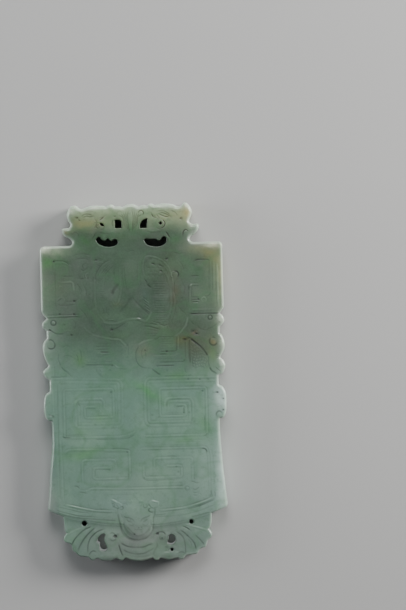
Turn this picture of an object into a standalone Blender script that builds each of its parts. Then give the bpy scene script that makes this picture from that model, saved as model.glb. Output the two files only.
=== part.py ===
"""A jade pendant carved in one slab: an axe-shaped plaque in the antique taste.

It has a crest of two confronted heads, a square upper block with a mask, bird
flanks, a flared lower body with four squared scrolls, and a bat at the foot.
The slab lies on its plain back on z = 0, face up, with its crest towards +Y.
The carving is drawn on a sheet 70 units high: x from the axis, y up from the
foot, and SHEET turns a unit into metres.
"""
import math

import bmesh
import bpy

# Driving sizes, in metres
HEIGHT = 0.070
BODY_THICKNESS = 0.0050
FILLER_STEP = 0.0014
WING_STEP = 0.0006
EDGE_CHAMFER = 0.00035
BAND_WIDTH = 0.0008
BAND_RISE = 0.00034
RIDGE_WIDTH = 0.00055
RIDGE_RISE = 0.0003
GROOVE_WIDTH = 0.0005
GROOVE_DEPTH = 0.0003
LEFT_HOLE = 0.0010
RIGHT_HOLE = 0.00085
MARGIN_FALL = 0.0009
MARGIN_WIDTH = 0.0024
HEAD_RISE = 0.0006
EAR_RISE = 0.0004
DRAGON_EYE = 0.0007
CORNER_CUT = 0.0007

FILLER_THICKNESS = BODY_THICKNESS - FILLER_STEP
WING_THICKNESS = BODY_THICKNESS - WING_STEP
SHEET = HEIGHT / 70.0
OVERCUT = 0.0004
CURVE_STEPS = 3


# Drawing on the sheet

def smooth(points, steps=CURVE_STEPS):
    """Catmull-Rom curve through the points, in equal steps between each two."""
    first = [2 * points[0][k] - points[1][k] for k in (0, 1)]
    last = [2 * points[-1][k] - points[-2][k] for k in (0, 1)]
    run = [first, *points, last]
    drawn = []
    for a, b, c, d in zip(run, run[1:], run[2:], run[3:]):
        for step in range(steps):
            t = step / steps
            drawn.append(tuple(
                0.5 * (2 * b[k] + (c[k] - a[k]) * t
                       + (2 * a[k] - 5 * b[k] + 4 * c[k] - d[k]) * t ** 2
                       + (3 * b[k] - a[k] - 3 * c[k] + d[k]) * t ** 3)
                for k in (0, 1)))
    return drawn + [tuple(points[-1])]


def arc(centre, radius, start, end, steps=8):
    """Part of a circle, from one angle to another in degrees."""
    angles = [math.radians(start + (end - start) * k / steps) for k in range(steps + 1)]
    return [(centre[0] + radius * math.cos(a), centre[1] + radius * math.sin(a)) for a in angles]


def joined(*stretches):
    """The stretches end to end, without doubled points."""
    run = []
    for stretch in stretches:
        for point in stretch:
            if not run or math.dist(run[-1], point) > 0.02:
                run.append(tuple(point))
    return run


def squared(points):
    """A line of straight runs whose corners are cut off."""
    corner = CORNER_CUT / SHEET
    run = [points[0]]
    for before, here, after in zip(points, points[1:], points[2:]):
        for other in (before, after):
            share = min(corner / math.dist(here, other), 0.45)
            run.append(tuple(here[k] + (other[k] - here[k]) * share for k in (0, 1)))
    return run + [points[-1]]


def walk(start, stops):
    """A squared spiral: from the start along x to the first stop, along y to the next, and so on."""
    run = [tuple(start)]
    for leg, stop in enumerate(stops):
        x, y = run[-1]
        run.append((x, stop) if leg % 2 else (stop, y))
    return squared(run)


# Making solids

def fresh_scene():
    """An empty scene with a collection for the pendant and one for its cutters."""
    for item in list(bpy.data.objects):
        bpy.data.objects.remove(item)
    pendant = bpy.data.collections.new("jade_pendant")
    relief = bpy.data.collections.new("relief")
    cutters = bpy.data.collections.new("cutters")
    for collection in (pendant, relief, cutters):
        bpy.context.scene.collection.children.link(collection)
    return pendant, relief, cutters


def settle(form):
    """Rounds a form's corners to a tenth of a micron, so that level faces are level with each other."""
    for corner in form.verts:
        corner.co = [round(value, 7) for value in corner.co]


def as_mesh(curve_object, collection):
    """The curve as a welded mesh object, in its place."""
    graph = bpy.context.evaluated_depsgraph_get()
    mesh = bpy.data.meshes.new_from_object(curve_object.evaluated_get(graph))
    form = bmesh.new()
    form.from_mesh(mesh)
    bmesh.ops.remove_doubles(form, verts=form.verts, dist=1e-7)
    bmesh.ops.recalc_face_normals(form, faces=form.faces)
    form.transform(curve_object.matrix_world)
    settle(form)
    form.to_mesh(mesh)
    form.free()
    mesh.materials.clear()
    solid = bpy.data.objects.new(curve_object.name + "_solid", mesh)
    collection.objects.link(solid)
    bpy.data.objects.remove(curve_object)
    return solid


def poly_curve(name, points, closed, dimensions):
    """A curve object of straight runs through sheet points, at z = 0."""
    data = bpy.data.curves.new(name, "CURVE")
    data.dimensions = dimensions
    spline = data.splines.new("POLY")
    spline.points.add(len(points) - 1)
    for knot, (x, y) in zip(spline.points, points):
        knot.co = (x * SHEET, y * SHEET - HEIGHT / 2, 0, 1)
    spline.use_cyclic_u = closed
    curve = bpy.data.objects.new(name, data)
    bpy.context.scene.collection.objects.link(curve)
    return curve


def slab(name, outline, bottom, top, collection, chamfer=0.0):
    """A flat outline raised from one level to another, its edges chamfered."""
    curve = poly_curve(name, outline, True, "2D")
    curve.data.fill_mode = "BOTH"
    curve.data.extrude = (top - bottom) / 2 - chamfer
    curve.data.bevel_depth = chamfer
    curve.data.bevel_resolution = 0
    curve.data.offset = -chamfer
    curve.location.z = (top + bottom) / 2
    bpy.context.view_layer.update()
    return as_mesh(curve, collection)


def profile(name, corners):
    """A closed section for a carved line: x across it, y up."""
    data = bpy.data.curves.new(name, "CURVE")
    data.dimensions = "2D"
    spline = data.splines.new("POLY")
    spline.points.add(len(corners) - 1)
    for knot, (x, y) in zip(spline.points, corners):
        knot.co = (x, y, 0, 1)
    spline.use_cyclic_u = True
    section = bpy.data.objects.new(name, data)
    bpy.context.scene.collection.objects.link(section)
    return section


def carve(name, points, section, level, collection, closed=False):
    """A line with the given section, along sheet points at a face's level."""
    curve = poly_curve(name, points, closed, "3D")
    curve.data.twist_mode = "Z_UP"
    curve.data.bevel_mode = "OBJECT"
    curve.data.bevel_object = section
    curve.data.use_fill_caps = True
    curve.location.z = level
    bpy.context.view_layer.update()
    return as_mesh(curve, collection)


def dome(name, centre, half_sizes, level, collection, segments=12):
    """An ellipsoid centred on a face's level."""
    mesh = bpy.data.meshes.new(name)
    form = bmesh.new()
    bmesh.ops.create_uvsphere(form, u_segments=segments, v_segments=6, radius=1.0)
    bmesh.ops.scale(form, vec=(half_sizes[0] * SHEET, half_sizes[1] * SHEET, half_sizes[2]),
                    verts=form.verts)
    form.to_mesh(mesh)
    form.free()
    solid = bpy.data.objects.new(name, mesh)
    solid.location = (centre[0] * SHEET, centre[1] * SHEET - HEIGHT / 2, level)
    collection.objects.link(solid)
    return solid


def drill(name, centre, diameter, collection):
    """A round hole right through the slab."""
    mesh = bpy.data.meshes.new(name)
    form = bmesh.new()
    bmesh.ops.create_cone(form, cap_ends=True, segments=12, radius1=diameter / 2,
                          radius2=diameter / 2, depth=2 * BODY_THICKNESS)
    form.to_mesh(mesh)
    form.free()
    hole = bpy.data.objects.new(name, mesh)
    hole.location = (centre[0] * SHEET, centre[1] * SHEET - HEIGHT / 2, BODY_THICKNESS / 2)
    collection.objects.link(hole)
    return hole


pendant, relief, cutters = fresh_scene()
ridge = profile("ridge_section", [
    (-RIDGE_WIDTH / 2, -OVERCUT), (RIDGE_WIDTH / 2, -OVERCUT),
    (RIDGE_WIDTH / 4, RIDGE_RISE), (-RIDGE_WIDTH / 4, RIDGE_RISE)])
band = profile("band_section", [
    (-BAND_WIDTH / 2, -OVERCUT), (BAND_WIDTH / 2, -OVERCUT),
    (BAND_WIDTH / 3, BAND_RISE), (-BAND_WIDTH / 3, BAND_RISE)])
groove = profile("groove_section", [
    (0, -GROOVE_DEPTH), (GROOVE_WIDTH, GROOVE_DEPTH), (-GROOVE_WIDTH, GROOVE_DEPTH)])


# The outline, each side from the crest's middle down to the foot
LEFT_CREST = joined(
    smooth([(0, 70), (-1.6, 69.45), (-3.0, 69.55)]),
    smooth([(-3.0, 69.55), (-3.7, 70.0), (-4.8, 69.6)]),
    smooth([(-4.8, 69.6), (-6.8, 69.85), (-9.6, 69.25)]),
    smooth([(-9.6, 69.25), (-10.9, 70.0), (-12.2, 69.0), (-12.4, 68.0), (-11.85, 66.4), (-12.1, 65.55)]),
    smooth([(-12.1, 65.55), (-13.5, 65.3), (-12.9, 63.95), (-11.5, 62.8), (-12.0, 62.05)]))
RIGHT_CREST = joined(
    smooth([(0, 70), (1.5, 69.45), (3.2, 69.6)]),
    smooth([(3.2, 69.6), (4.0, 70.0), (4.9, 69.7)]),
    smooth([(4.9, 69.7), (6.8, 69.9), (9.5, 69.25)]),
    smooth([(9.5, 69.25), (10.7, 70.0), (11.9, 68.9), (12.0, 67.8), (11.5, 66.4), (12.1, 65.7)]),
    smooth([(12.1, 65.7), (13.4, 65.5), (13.0, 64.3), (11.5, 63.0), (12.0, 62.2)]))
LEFT_FLANK = joined(
    arc((-17.1, 61.2), 0.85, 90, 180, 4),
    smooth([(-17.95, 49.6), (-17.6, 48.7), (-17.0, 47.9)]),
    smooth([(-17.0, 47.8), (-17.85, 46.8), (-17.0, 45.6)]),
    smooth([(-17.0, 43.95), (-17.75, 42.4), (-17.4, 40.2), (-16.8, 38.7)]),
    smooth([(-16.8, 38.6), (-17.85, 37.3), (-16.7, 36.0)]),
    smooth([(-16.65, 33.7), (-17.6, 32.8), (-17.85, 31.0), (-17.6, 28.7), (-16.5, 27.8)]),
    smooth([(-16.4, 27.7), (-16.65, 21.5), (-17.6, 11.0)], 2),
    smooth([(-17.6, 11.0), (-17.2, 10.1), (-15.0, 9.15), (-11.0, 8.05), (-5.0, 7.1), (0, 6.9)], 2))
RIGHT_FLANK = joined(
    arc((17.0, 61.35), 0.85, 90, 0, 4),
    smooth([(17.85, 49.6), (17.55, 48.7), (17.0, 48.1)]),
    smooth([(17.0, 48.05), (17.85, 46.8), (16.95, 45.5)]),
    smooth([(16.95, 44.2), (17.8, 42.5), (17.6, 40.8), (16.95, 39.5)]),
    smooth([(16.95, 39.4), (17.85, 37.8), (16.6, 36.05)]),
    smooth([(16.5, 34.1), (17.5, 33.3), (17.9, 31.5), (17.7, 28.6), (16.6, 27.55)]),
    smooth([(16.5, 27.4), (16.7, 21.5), (17.6, 11.4)], 2),
    smooth([(17.6, 11.4), (17.2, 10.2), (15.0, 9.15), (11.0, 7.95), (5.0, 6.9), (0, 6.9)], 2))

# The bat's edge below the wings, each side from the wing tip to the middle
LEFT_SCALLOPS = joined(
    smooth([(-14.1, 5.75), (-14.65, 4.8), (-14.0, 3.9)]),
    smooth([(-14.0, 3.9), (-13.2, 3.4), (-12.9, 2.2)], 2),
    smooth([(-12.9, 2.2), (-12.1, 1.7), (-11.5, 1.15)], 2),
    smooth([(-11.5, 1.15), (-10.2, 1.05), (-9.6, 0.6)], 2),
    smooth([(-9.6, 0.6), (-9.0, 0.3), (-8.1, 0.7)], 2),
    smooth([(-8.1, 0.7), (-6.6, 0.15), (-4.6, 0.6)]),
    smooth([(-4.6, 0.6), (-3.5, 0.15), (-2.6, 0.65)], 2),
    smooth([(-2.6, 0.65), (-1.4, 0.15), (0, 0)], 2))
RIGHT_SCALLOPS = joined(
    smooth([(13.8, 5.9), (14.45, 4.9), (13.9, 4.0)]),
    smooth([(13.9, 4.0), (13.4, 3.4), (13.1, 2.5)], 2),
    smooth([(13.1, 2.5), (12.2, 2.1), (11.4, 1.15)], 2),
    smooth([(11.4, 1.15), (10.4, 1.05), (9.1, 0.75)], 2),
    smooth([(9.1, 0.75), (8.3, 0.1), (7.5, 0.4)], 2),
    smooth([(7.5, 0.4), (6.0, 0.1), (4.3, 0.5)]),
    smooth([(4.3, 0.5), (3.5, 0.05), (2.6, 0.55)], 2),
    smooth([(2.6, 0.55), (1.4, 0.15), (0, 0)], 2))
LEFT_WING_TOP = smooth([(0, 8.5), (-8.0, 7.3), (-12.0, 6.7), (-14.1, 5.75)], 2)
RIGHT_WING_TOP = smooth([(13.8, 5.9), (12.0, 6.4), (8.0, 7.1), (0, 8.5)], 2)

OUTLINE = joined(LEFT_CREST, LEFT_FLANK, RIGHT_FLANK[::-1], RIGHT_CREST[::-1][:-1])
FILLER = [(-14.5, 9.8), (-14.5, 7.0), (-14.2, 6.1), (-13.4, 5.4), (0, 4.8),
          (13.3, 5.6), (14.0, 6.2), (14.35, 7.5), (14.4, 9.8)]
BAT = joined(LEFT_SCALLOPS, RIGHT_SCALLOPS[::-1], RIGHT_WING_TOP, LEFT_WING_TOP[:-1])
plaque = slab("plaque", OUTLINE, 0, BODY_THICKNESS, pendant, EDGE_CHAMFER)
plaque.name = "plaque"
slab("foot_plate", FILLER, 0, FILLER_THICKNESS, relief, EDGE_CHAMFER)
slab("bat", BAT, 0, WING_THICKNESS, relief, EDGE_CHAMFER)


# Bands and ridges that stand on the face of the body

BANDS = {
    "left_middle_scroll": walk((-1.4, 24.5), [-14.0, 33.6, -4.7, 28.3, -9.8, 30.1, -7.6]),
    "left_middle_answer": walk((-15.2, 35.5), [-2.6, 26.6, -11.4, 31.9, -6.4, 30.0]),
    "right_middle_scroll": walk((1.5, 24.4), [13.8, 33.6, 4.7, 28.2, 9.6, 30.1, 7.9]),
    "right_middle_answer": walk((15.3, 35.6), [2.3, 26.5, 11.2, 31.7, 6.0, 30.0]),
    "left_low_scroll": walk((-13.8, 21.7), [-1.6, 16.2, -8.3, 18.1, -5.4]),
    "left_low_answer": walk((-0.4, 14.3), [-11.2, 20.0, -4.1, 18.2]),
    "right_low_scroll": walk((13.4, 21.8), [1.6, 16.1, 8.3, 18.2, 6.0]),
    "right_low_answer": walk((0.4, 14.3), [11.0, 20.0, 3.8, 18.2]),
    "left_block_hook": squared([(-12.2, 58.3), (-12.9, 59.1), (-15.5, 59.1), (-15.5, 56.3),
                                (-11.6, 56.3)]),
    "left_block_scroll": walk((-13.6, 54.9), [-11.5, 52.9, -15.4, 50.8, -12.0]),
    "right_block_hook": squared([(12.4, 58.5), (15.7, 58.5), (15.7, 52.0), (13.7, 51.8)]),
    "right_block_scroll": squared([(13.2, 53.8), (11.4, 53.8), (11.4, 50.9), (13.1, 50.9)]),
}
RIDGES = {
    "left_frame": joined([(-15.0, 34.4), (-14.75, 22.5), (-14.6, 11.6)],
                         smooth([(-14.6, 11.6), (-11.5, 10.7), (-8.0, 10.0), (-4.6, 9.8)], 2)),
    "right_frame": joined([(14.95, 34.4), (14.75, 22.0), (14.9, 12.2)],
                          smooth([(14.9, 12.2), (12.0, 11.1), (8.0, 10.0), (4.4, 9.8)], 2)),
    "mask_left": smooth([(-4.2, 58.9), (-6.0, 57.8), (-7.2, 55.8), (-7.4, 52.5), (-7.1, 49.2),
                         (-5.6, 47.2), (-3.4, 46.7), (-1.2, 47.3), (1.2, 47.3), (2.6, 47.1), (3.7, 49.1)]),
    "mask_right": smooth([(3.7, 49.1), (2.5, 52.5), (2.2, 56.0), (2.6, 59.2), (4.4, 59.5), (6.7, 57.7),
                          (7.9, 55.0), (8.2, 51.5), (7.6, 48.2), (6.6, 46.0), (3.8, 46.1), (1.2, 46.8)]),
    "mask_left_cheek": smooth([(-4.6, 57.6), (-6.2, 55.6), (-6.5, 52.5), (-6.1, 49.6), (-4.6, 48.0)]),
    "mask_left_inner": smooth([(-2.5, 57.0), (-2.2, 53.0), (-2.6, 50.4), (-3.6, 50.6), (-4.0, 52.4)]),
    "mask_right_cheek": smooth([(6.2, 57.2), (7.2, 54.5), (7.4, 51.0), (6.8, 48.4), (5.6, 47.2)]),
    "jaw_left": smooth([(-9.8, 47.0), (-8.8, 45.2), (-6.4, 44.1), (-3.0, 43.4), (-1.2, 42.2)]),
    "jaw_right": smooth([(10.5, 47.3), (9.8, 45.4), (8.2, 43.8), (5.6, 43.6), (3.4, 43.1), (0.9, 42.2)]),
    "mask_curl": arc((8.3, 55.8), 0.8, -150, 110),
    "left_tail_upper": squared([(-8.6, 43.2), (-8.6, 41.1), (-4.4, 41.1)]),
    "left_tail_lower": squared([(-10.2, 42.8), (-10.2, 38.7), (-4.2, 38.5)]),
    "left_tail_end": smooth([(-3.4, 43.0), (-1.7, 42.2), (-1.0, 40.3), (-1.5, 38.3), (-3.3, 37.8)]),
    "right_tail_upper": squared([(8.7, 43.5), (8.7, 40.4), (4.0, 40.2)]),
    "right_tail_lower": squared([(10.5, 43.0), (10.4, 38.6), (4.4, 38.3)]),
    "right_tail_end": smooth([(3.4, 42.9), (1.6, 42.0), (0.8, 40.3), (1.3, 38.3), (3.2, 37.7)]),
    "left_nape": smooth([(-10.9, 47.5), (-11.3, 46.4), (-12.3, 45.6), (-13.7, 45.3)], 2),
    "right_nape": smooth([(11.0, 47.5), (11.5, 46.4), (12.5, 45.7), (14.0, 45.4)], 2),
    "left_wing": smooth([(-11.6, 43.2), (-13.4, 41.6), (-14.4, 39.5), (-14.2, 38.2), (-12.3, 36.5)]),
    "left_breast_curl": arc((-16.1, 42.8), 0.75, 110, -150),
    "right_breast_curl": arc((15.6, 42.6), 0.75, 70, 330),
    "left_low_curl": smooth([(-15.9, 28.4), (-16.3, 29.0), (-17.0, 28.8)], 2),
    "right_low_curl": smooth([(15.9, 28.1), (16.3, 28.9), (17.0, 28.8)], 2),
    "left_brow": smooth([(-4.9, 67.0), (-4.4, 67.8), (-4.4, 68.8)], 2),
    "right_brow": smooth([(4.9, 67.1), (4.3, 67.8), (4.3, 68.8)], 2),
    "left_nose_curl": arc((-2.1, 68.2), 0.5, 200, -40, 5),
    "right_nose_curl": arc((2.1, 68.2), 0.5, -20, 220, 5),
    "left_horn": smooth([(-9.6, 66.0), (-10.2, 67.6), (-11.2, 67.6)], 2),
    "right_horn": smooth([(9.4, 66.0), (9.9, 67.6), (11.0, 67.6)], 2),
    "palmette_left": smooth([(-1.5, 68.9), (-0.9, 67.4), (-0.8, 65.0), (-1.2, 62.8)]),
    "palmette_right": smooth([(1.3, 68.9), (0.9, 67.4), (0.8, 65.0), (1.2, 62.8)]),
}
RINGS = {
    "left_bird_eye": arc((-15.6, 47.0), 0.5, 0, 324, 9),
    "right_bird_eye": arc((15.1, 47.3), 0.45, 0, 324, 9),
}
GROOVES = {
    "left_shoulder": [(-16.6, 48.2), (-10.5, 48.2)],
    "right_shoulder": [(16.6, 48.15), (11.2, 48.15)],
    "left_beak": smooth([(-16.6, 45.6), (-16.0, 45.5), (-15.2, 45.0), (-13.8, 44.9)], 2),
    "right_beak": smooth([(16.4, 45.6), (15.4, 45.3), (14.4, 45.0)], 2),
    "right_wing": smooth([(11.3, 43.0), (13.2, 41.4), (14.4, 39.3), (15.2, 37.0)]),
    "nose": [(-2.6, 49.1), (-1.3, 50.3), (0, 51.9), (1.2, 50.3), (3.0, 48.6)],
    "left_pupil": [(-3.9, 52.5), (-2.7, 54.5)],
    "right_pupil": [(2.7, 54.6), (3.6, 53.5)],
    "left_gum": smooth([(-4.2, 45.4), (-3.0, 45.8), (-1.2, 46.7)], 2),
    "left_cheek_fold": smooth([(-7.0, 64.2), (-7.4, 63.6), (-7.7, 63.0)], 2),
    "right_cheek_fold": smooth([(7.0, 64.2), (7.4, 63.6), (7.7, 63.0)], 2),
    "right_barb_curl": arc((10.8, 63.9), 0.65, 200, 30, 5),
    "right_tail_tie": [(3.6, 37.4), (5.0, 36.4)],
}
WING_GROOVES = {
    "left_feather_1": smooth([(-13.2, 3.5), (-12.0, 5.2), (-9.4, 6.7)], 2),
    "left_feather_2": smooth([(-11.9, 2.2), (-10.6, 4.8), (-8.3, 6.6)], 2),
    "left_feather_3": smooth([(-10.0, 2.0), (-9.4, 4.7), (-7.0, 6.3)], 2),
    "right_feather_1": smooth([(12.9, 3.2), (11.4, 4.8), (9.3, 6.2)], 2),
    "right_feather_2": smooth([(11.4, 2.0), (10.3, 4.2), (8.2, 6.0)], 2),
    "right_feather_3": smooth([(9.0, 1.6), (9.0, 3.6), (7.6, 5.4)], 2),
    "left_leg": smooth([(-3.9, 3.5), (-3.6, 2.2), (-3.1, 1.1)], 2),
    "right_leg": smooth([(3.9, 3.5), (3.6, 2.2), (3.1, 1.1)], 2),
    "belly_fold": smooth([(-2.7, 2.2), (0, 1.4), (2.7, 2.3)], 2),
}
OPENINGS = {
    "left_nostril": [(-3.05, 65.3), (-1.75, 65.3), (-1.75, 66.3), (-2.3, 66.9), (-3.05, 66.9)],
    "right_nostril": [(1.85, 65.2), (3.15, 65.2), (3.35, 67.0), (2.7, 66.9), (1.9, 66.2)],
    "left_mouth": joined(
        smooth([(-6.85, 63.1), (-6.2, 63.6), (-5.8, 63.1)], 2), [(-5.2, 62.8)],
        smooth([(-5.0, 63.0), (-4.5, 63.3), (-3.9, 62.8)], 2),
        smooth([(-3.7, 62.8), (-3.1, 63.1), (-2.55, 62.5), (-4.3, 61.7), (-6.3, 62.3), (-6.8, 63.0)], 2)),
    "right_mouth": joined(
        [(2.55, 62.9), (3.0, 63.05), (4.7, 63.0), (5.4, 62.6)],
        smooth([(5.6, 62.7), (6.4, 63.4), (7.0, 62.8), (5.2, 61.5), (3.2, 61.9), (2.5, 62.7)], 2)),
    "left_wing_window": smooth([(-6.9, 5.6), (-7.9, 4.9), (-8.2, 3.9), (-7.6, 3.3), (-7.7, 2.6),
                                (-7.0, 2.1), (-6.3, 2.6), (-6.6, 3.8), (-6.6, 5.0), (-6.8, 5.5)], 2),
    "right_wing_window": smooth([(6.0, 4.9), (6.7, 5.0), (7.2, 4.0), (6.5, 3.0), (5.6, 3.3), (5.8, 4.3),
                                 (5.9, 4.8)], 2),
}

for name, points in BANDS.items():
    carve(name, points, band, BODY_THICKNESS, relief)
for name, points in RIDGES.items():
    carve(name, points, ridge, BODY_THICKNESS, relief)
for name, points in RINGS.items():
    carve(name, points, ridge, BODY_THICKNESS, relief, closed=True)
for name, points in GROOVES.items():
    carve(name, points, groove, BODY_THICKNESS, cutters)
for name, points in WING_GROOVES.items():
    carve(name, points, groove, WING_THICKNESS, cutters)
for name, points in OPENINGS.items():
    slab(name, points, -OVERCUT, BODY_THICKNESS + HEAD_RISE, cutters)


# The bat's head, ears and belly, and the round forms of the heads above

BAT_HEAD = smooth([(0, 4.1), (1.7, 4.7), (3.0, 6.4), (3.5, 9.0), (3.1, 11.2), (1.4, 11.7), (0, 11.3),
                   (-1.4, 11.8), (-3.3, 11.3), (-3.6, 9.0), (-3.1, 6.4), (-1.7, 4.7), (0, 4.1)], 2)[:-1]
LEFT_EAR = smooth([(-5.2, 12.1), (-3.4, 11.9), (-2.5, 11.0), (-3.6, 10.2), (-4.8, 10.7),
                   (-5.2, 12.1)], 2)[:-1]
RIGHT_EAR = smooth([(4.3, 12.0), (2.8, 11.9), (1.9, 11.0), (2.9, 10.1), (4.2, 10.6), (4.3, 12.0)], 2)[:-1]
FACE_ROUND = BODY_THICKNESS - OVERCUT / 2
WING_ROUND = WING_THICKNESS - OVERCUT / 2
HEAD_LEVEL = BODY_THICKNESS + HEAD_RISE
slab("bat_head", BAT_HEAD, 0, HEAD_LEVEL, relief, EDGE_CHAMFER)
slab("left_bat_ear", LEFT_EAR, EDGE_CHAMFER, BODY_THICKNESS + EAR_RISE, relief, EAR_RISE / 2)
slab("right_bat_ear", RIGHT_EAR, EDGE_CHAMFER, BODY_THICKNESS + EAR_RISE, relief, EAR_RISE / 2)
dome("bat_belly", (0, 2.7), (3.2, 2.6, HEAD_RISE), WING_ROUND, relief, 16)
dome("bat_nose", (0, 7.3), (0.8, 0.6, BAND_RISE), HEAD_LEVEL, relief, 8)
carve("bat_mouth", smooth([(-1.5, 6.4), (0, 5.8), (1.5, 6.4)], 2), groove, HEAD_LEVEL, cutters)
for side, x in (("left", -1), ("right", 1)):
    dome(side + "_bat_eye", (1.4 * x, 8.8), (0.6, 0.45, BAND_RISE), HEAD_LEVEL, relief, 8)
    dome(side + "_wing_root", (4.9 * x, 4.8), (0.9, 0.9, HEAD_RISE), WING_ROUND, relief, 10)
    dome(side + "_eye_socket", (5.75 * x, 66.0), (1.1, 1.1, HEAD_RISE), FACE_ROUND, relief, 10)
drill("left_foot_hole", (-10.55, 7.6), LEFT_HOLE, cutters)
drill("right_foot_hole", (10.4, 7.45), RIGHT_HOLE, cutters)
drill("left_dragon_eye", (-5.6, 66.0), DRAGON_EYE, cutters)
drill("right_dragon_eye", (5.9, 66.05), DRAGON_EYE, cutters)


# The margins of the lower body, which fall away outside the frame

def margin(name, top, bottom, side):
    """A wedge that planes the margin from the frame's line down to the edge."""
    run = math.dist(top, bottom) * SHEET
    bpy.ops.mesh.primitive_cube_add(size=1)
    wedge = bpy.context.object
    wedge.name = name
    for collection in list(wedge.users_collection):
        collection.objects.unlink(wedge)
    cutters.objects.link(wedge)
    for corner in wedge.data.vertices:
        x, y, z = corner.co
        fall = MARGIN_FALL if x > 0 and z < 0 else 0
        corner.co = ((x + 0.5) * MARGIN_WIDTH, y * run, (z + 0.5) * BODY_THICKNESS - fall)
    wedge.location = ((top[0] + bottom[0]) / 2 * SHEET, (top[1] + bottom[1]) / 2 * SHEET - HEIGHT / 2,
                      BODY_THICKNESS)
    turn = math.atan2(top[0] - bottom[0], bottom[1] - top[1])
    wedge.rotation_euler.z = turn if side > 0 else turn + math.pi
    return wedge


margin("left_margin", (-15.9, 27.4), (-15.3, 9.0), -1)
margin("right_margin", (15.9, 27.4), (15.2, 9.0), 1)

bpy.data.objects.remove(ridge)
bpy.data.objects.remove(band)
bpy.data.objects.remove(groove)

for name, operation, operands in (("relief", "UNION", relief), ("cuts", "DIFFERENCE", cutters)):
    step = plaque.modifiers.new(name, "BOOLEAN")
    step.operation = operation
    step.operand_type = "COLLECTION"
    step.collection = operands
    step.solver = "EXACT"
for collection in (relief, cutters):
    for item in collection.objects:
        item.hide_render = True
        item.display_type = "WIRE"


# Jade: pale green, softly polished

jade = bpy.data.materials.new("jade")
jade.use_nodes = True
shader = jade.node_tree.nodes["Principled BSDF"]
shader.inputs["Base Color"].default_value = (0.48, 0.66, 0.52, 1.0)
shader.inputs["Roughness"].default_value = 0.28
shader.inputs["Metallic"].default_value = 0.0
plaque.data.materials.append(jade)
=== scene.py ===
import math

import bpy
import numpy as np
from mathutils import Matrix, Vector
from mathutils.geometry import delaunay_2d_cdt


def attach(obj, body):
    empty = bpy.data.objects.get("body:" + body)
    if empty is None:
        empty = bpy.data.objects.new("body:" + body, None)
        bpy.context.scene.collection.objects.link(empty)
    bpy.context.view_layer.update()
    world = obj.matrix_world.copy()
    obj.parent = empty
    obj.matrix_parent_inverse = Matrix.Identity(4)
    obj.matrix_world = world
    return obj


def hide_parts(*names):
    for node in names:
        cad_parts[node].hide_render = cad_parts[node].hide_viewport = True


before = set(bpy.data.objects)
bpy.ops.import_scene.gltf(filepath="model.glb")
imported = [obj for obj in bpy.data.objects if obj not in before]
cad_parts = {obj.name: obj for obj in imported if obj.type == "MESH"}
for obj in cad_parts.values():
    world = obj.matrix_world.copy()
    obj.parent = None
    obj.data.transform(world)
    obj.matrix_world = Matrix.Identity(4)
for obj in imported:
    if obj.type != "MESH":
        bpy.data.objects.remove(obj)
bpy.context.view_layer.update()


# The plaque's cut edge. The lapidary saws the slab from a pale green pebble and works its
# outline with files and drills: scrolled heads above, lobed birds at the sides, a bat below.
# Points are millimetres on the face: x from the axis, y up from the foot.

def evenly(points, step, closed=False):
    """The same line with its points a step apart, each read off at its share of the length."""
    line = np.asarray(points, float)
    if closed:
        line = np.vstack([line, line[:1]])
    length = np.concatenate([[0], np.cumsum(np.hypot(*np.diff(line, axis=0).T))])
    count = max(int(round(length[-1] / step)), 1)
    stops = np.linspace(0, length[-1], count + 1)
    even = np.column_stack([np.interp(stops, length, line[:, k]) for k in (0, 1)])
    return even[:-1] if closed else even


def drawn(*points, step=0.16):
    """A flowing line: the Catmull-Rom cubic through the points, 0.5(2b + (c-a)t + (2a-5b+4c-d)t2 + ...)."""
    knots = np.array(points, float)
    if len(knots) > 2:
        run = np.vstack([2 * knots[0] - knots[1], knots, 2 * knots[-1] - knots[-2]])
        t = np.linspace(0, 1, 12, endpoint=False)[:, None, None]
        a, b, c, d = run[:-3], run[1:-2], run[2:-1], run[3:]
        cubic = 0.5 * (2 * b + (c - a) * t + (2 * a - 5 * b + 4 * c - d) * t ** 2
                       + (3 * b - a - 3 * c + d) * t ** 3)
        knots = np.vstack([cubic.transpose(1, 0, 2).reshape(-1, 2), knots[-1:]])
    return evenly(knots, step)


def round_about(x, y, radius, start, end, step=0.16):
    """Part of a circle about x, y: (x + r cos a, y + r sin a), with a in degrees."""
    turn = np.radians(np.linspace(start, end, max(int(abs(end - start) * radius / 57.3 / step), 6)))
    return np.column_stack([x + radius * np.cos(turn), y + radius * np.sin(turn)])


def end_to_end(*stretches):
    """Stretches of line joined into one, leaving out points that would lie on each other."""
    line = np.vstack(stretches)
    keep = np.concatenate([[True], np.hypot(*np.diff(line, axis=0).T) > 0.03])
    return line[keep]


def points_in(text):
    """The points written in a text, each as x,y."""
    return [[float(part) for part in point.split(",")] for point in text.split()]


def outline(text, step=0.16):
    """Flowing stretches that meet in corners: a / stands where one stretch ends and the next begins."""
    stretches = [points_in(part) for part in text.split("/")]
    for before, after in zip(stretches, stretches[1:]):
        after.insert(0, before[-1])
    return end_to_end(*(drawn(*stretch, step=step) for stretch in stretches))


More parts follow.
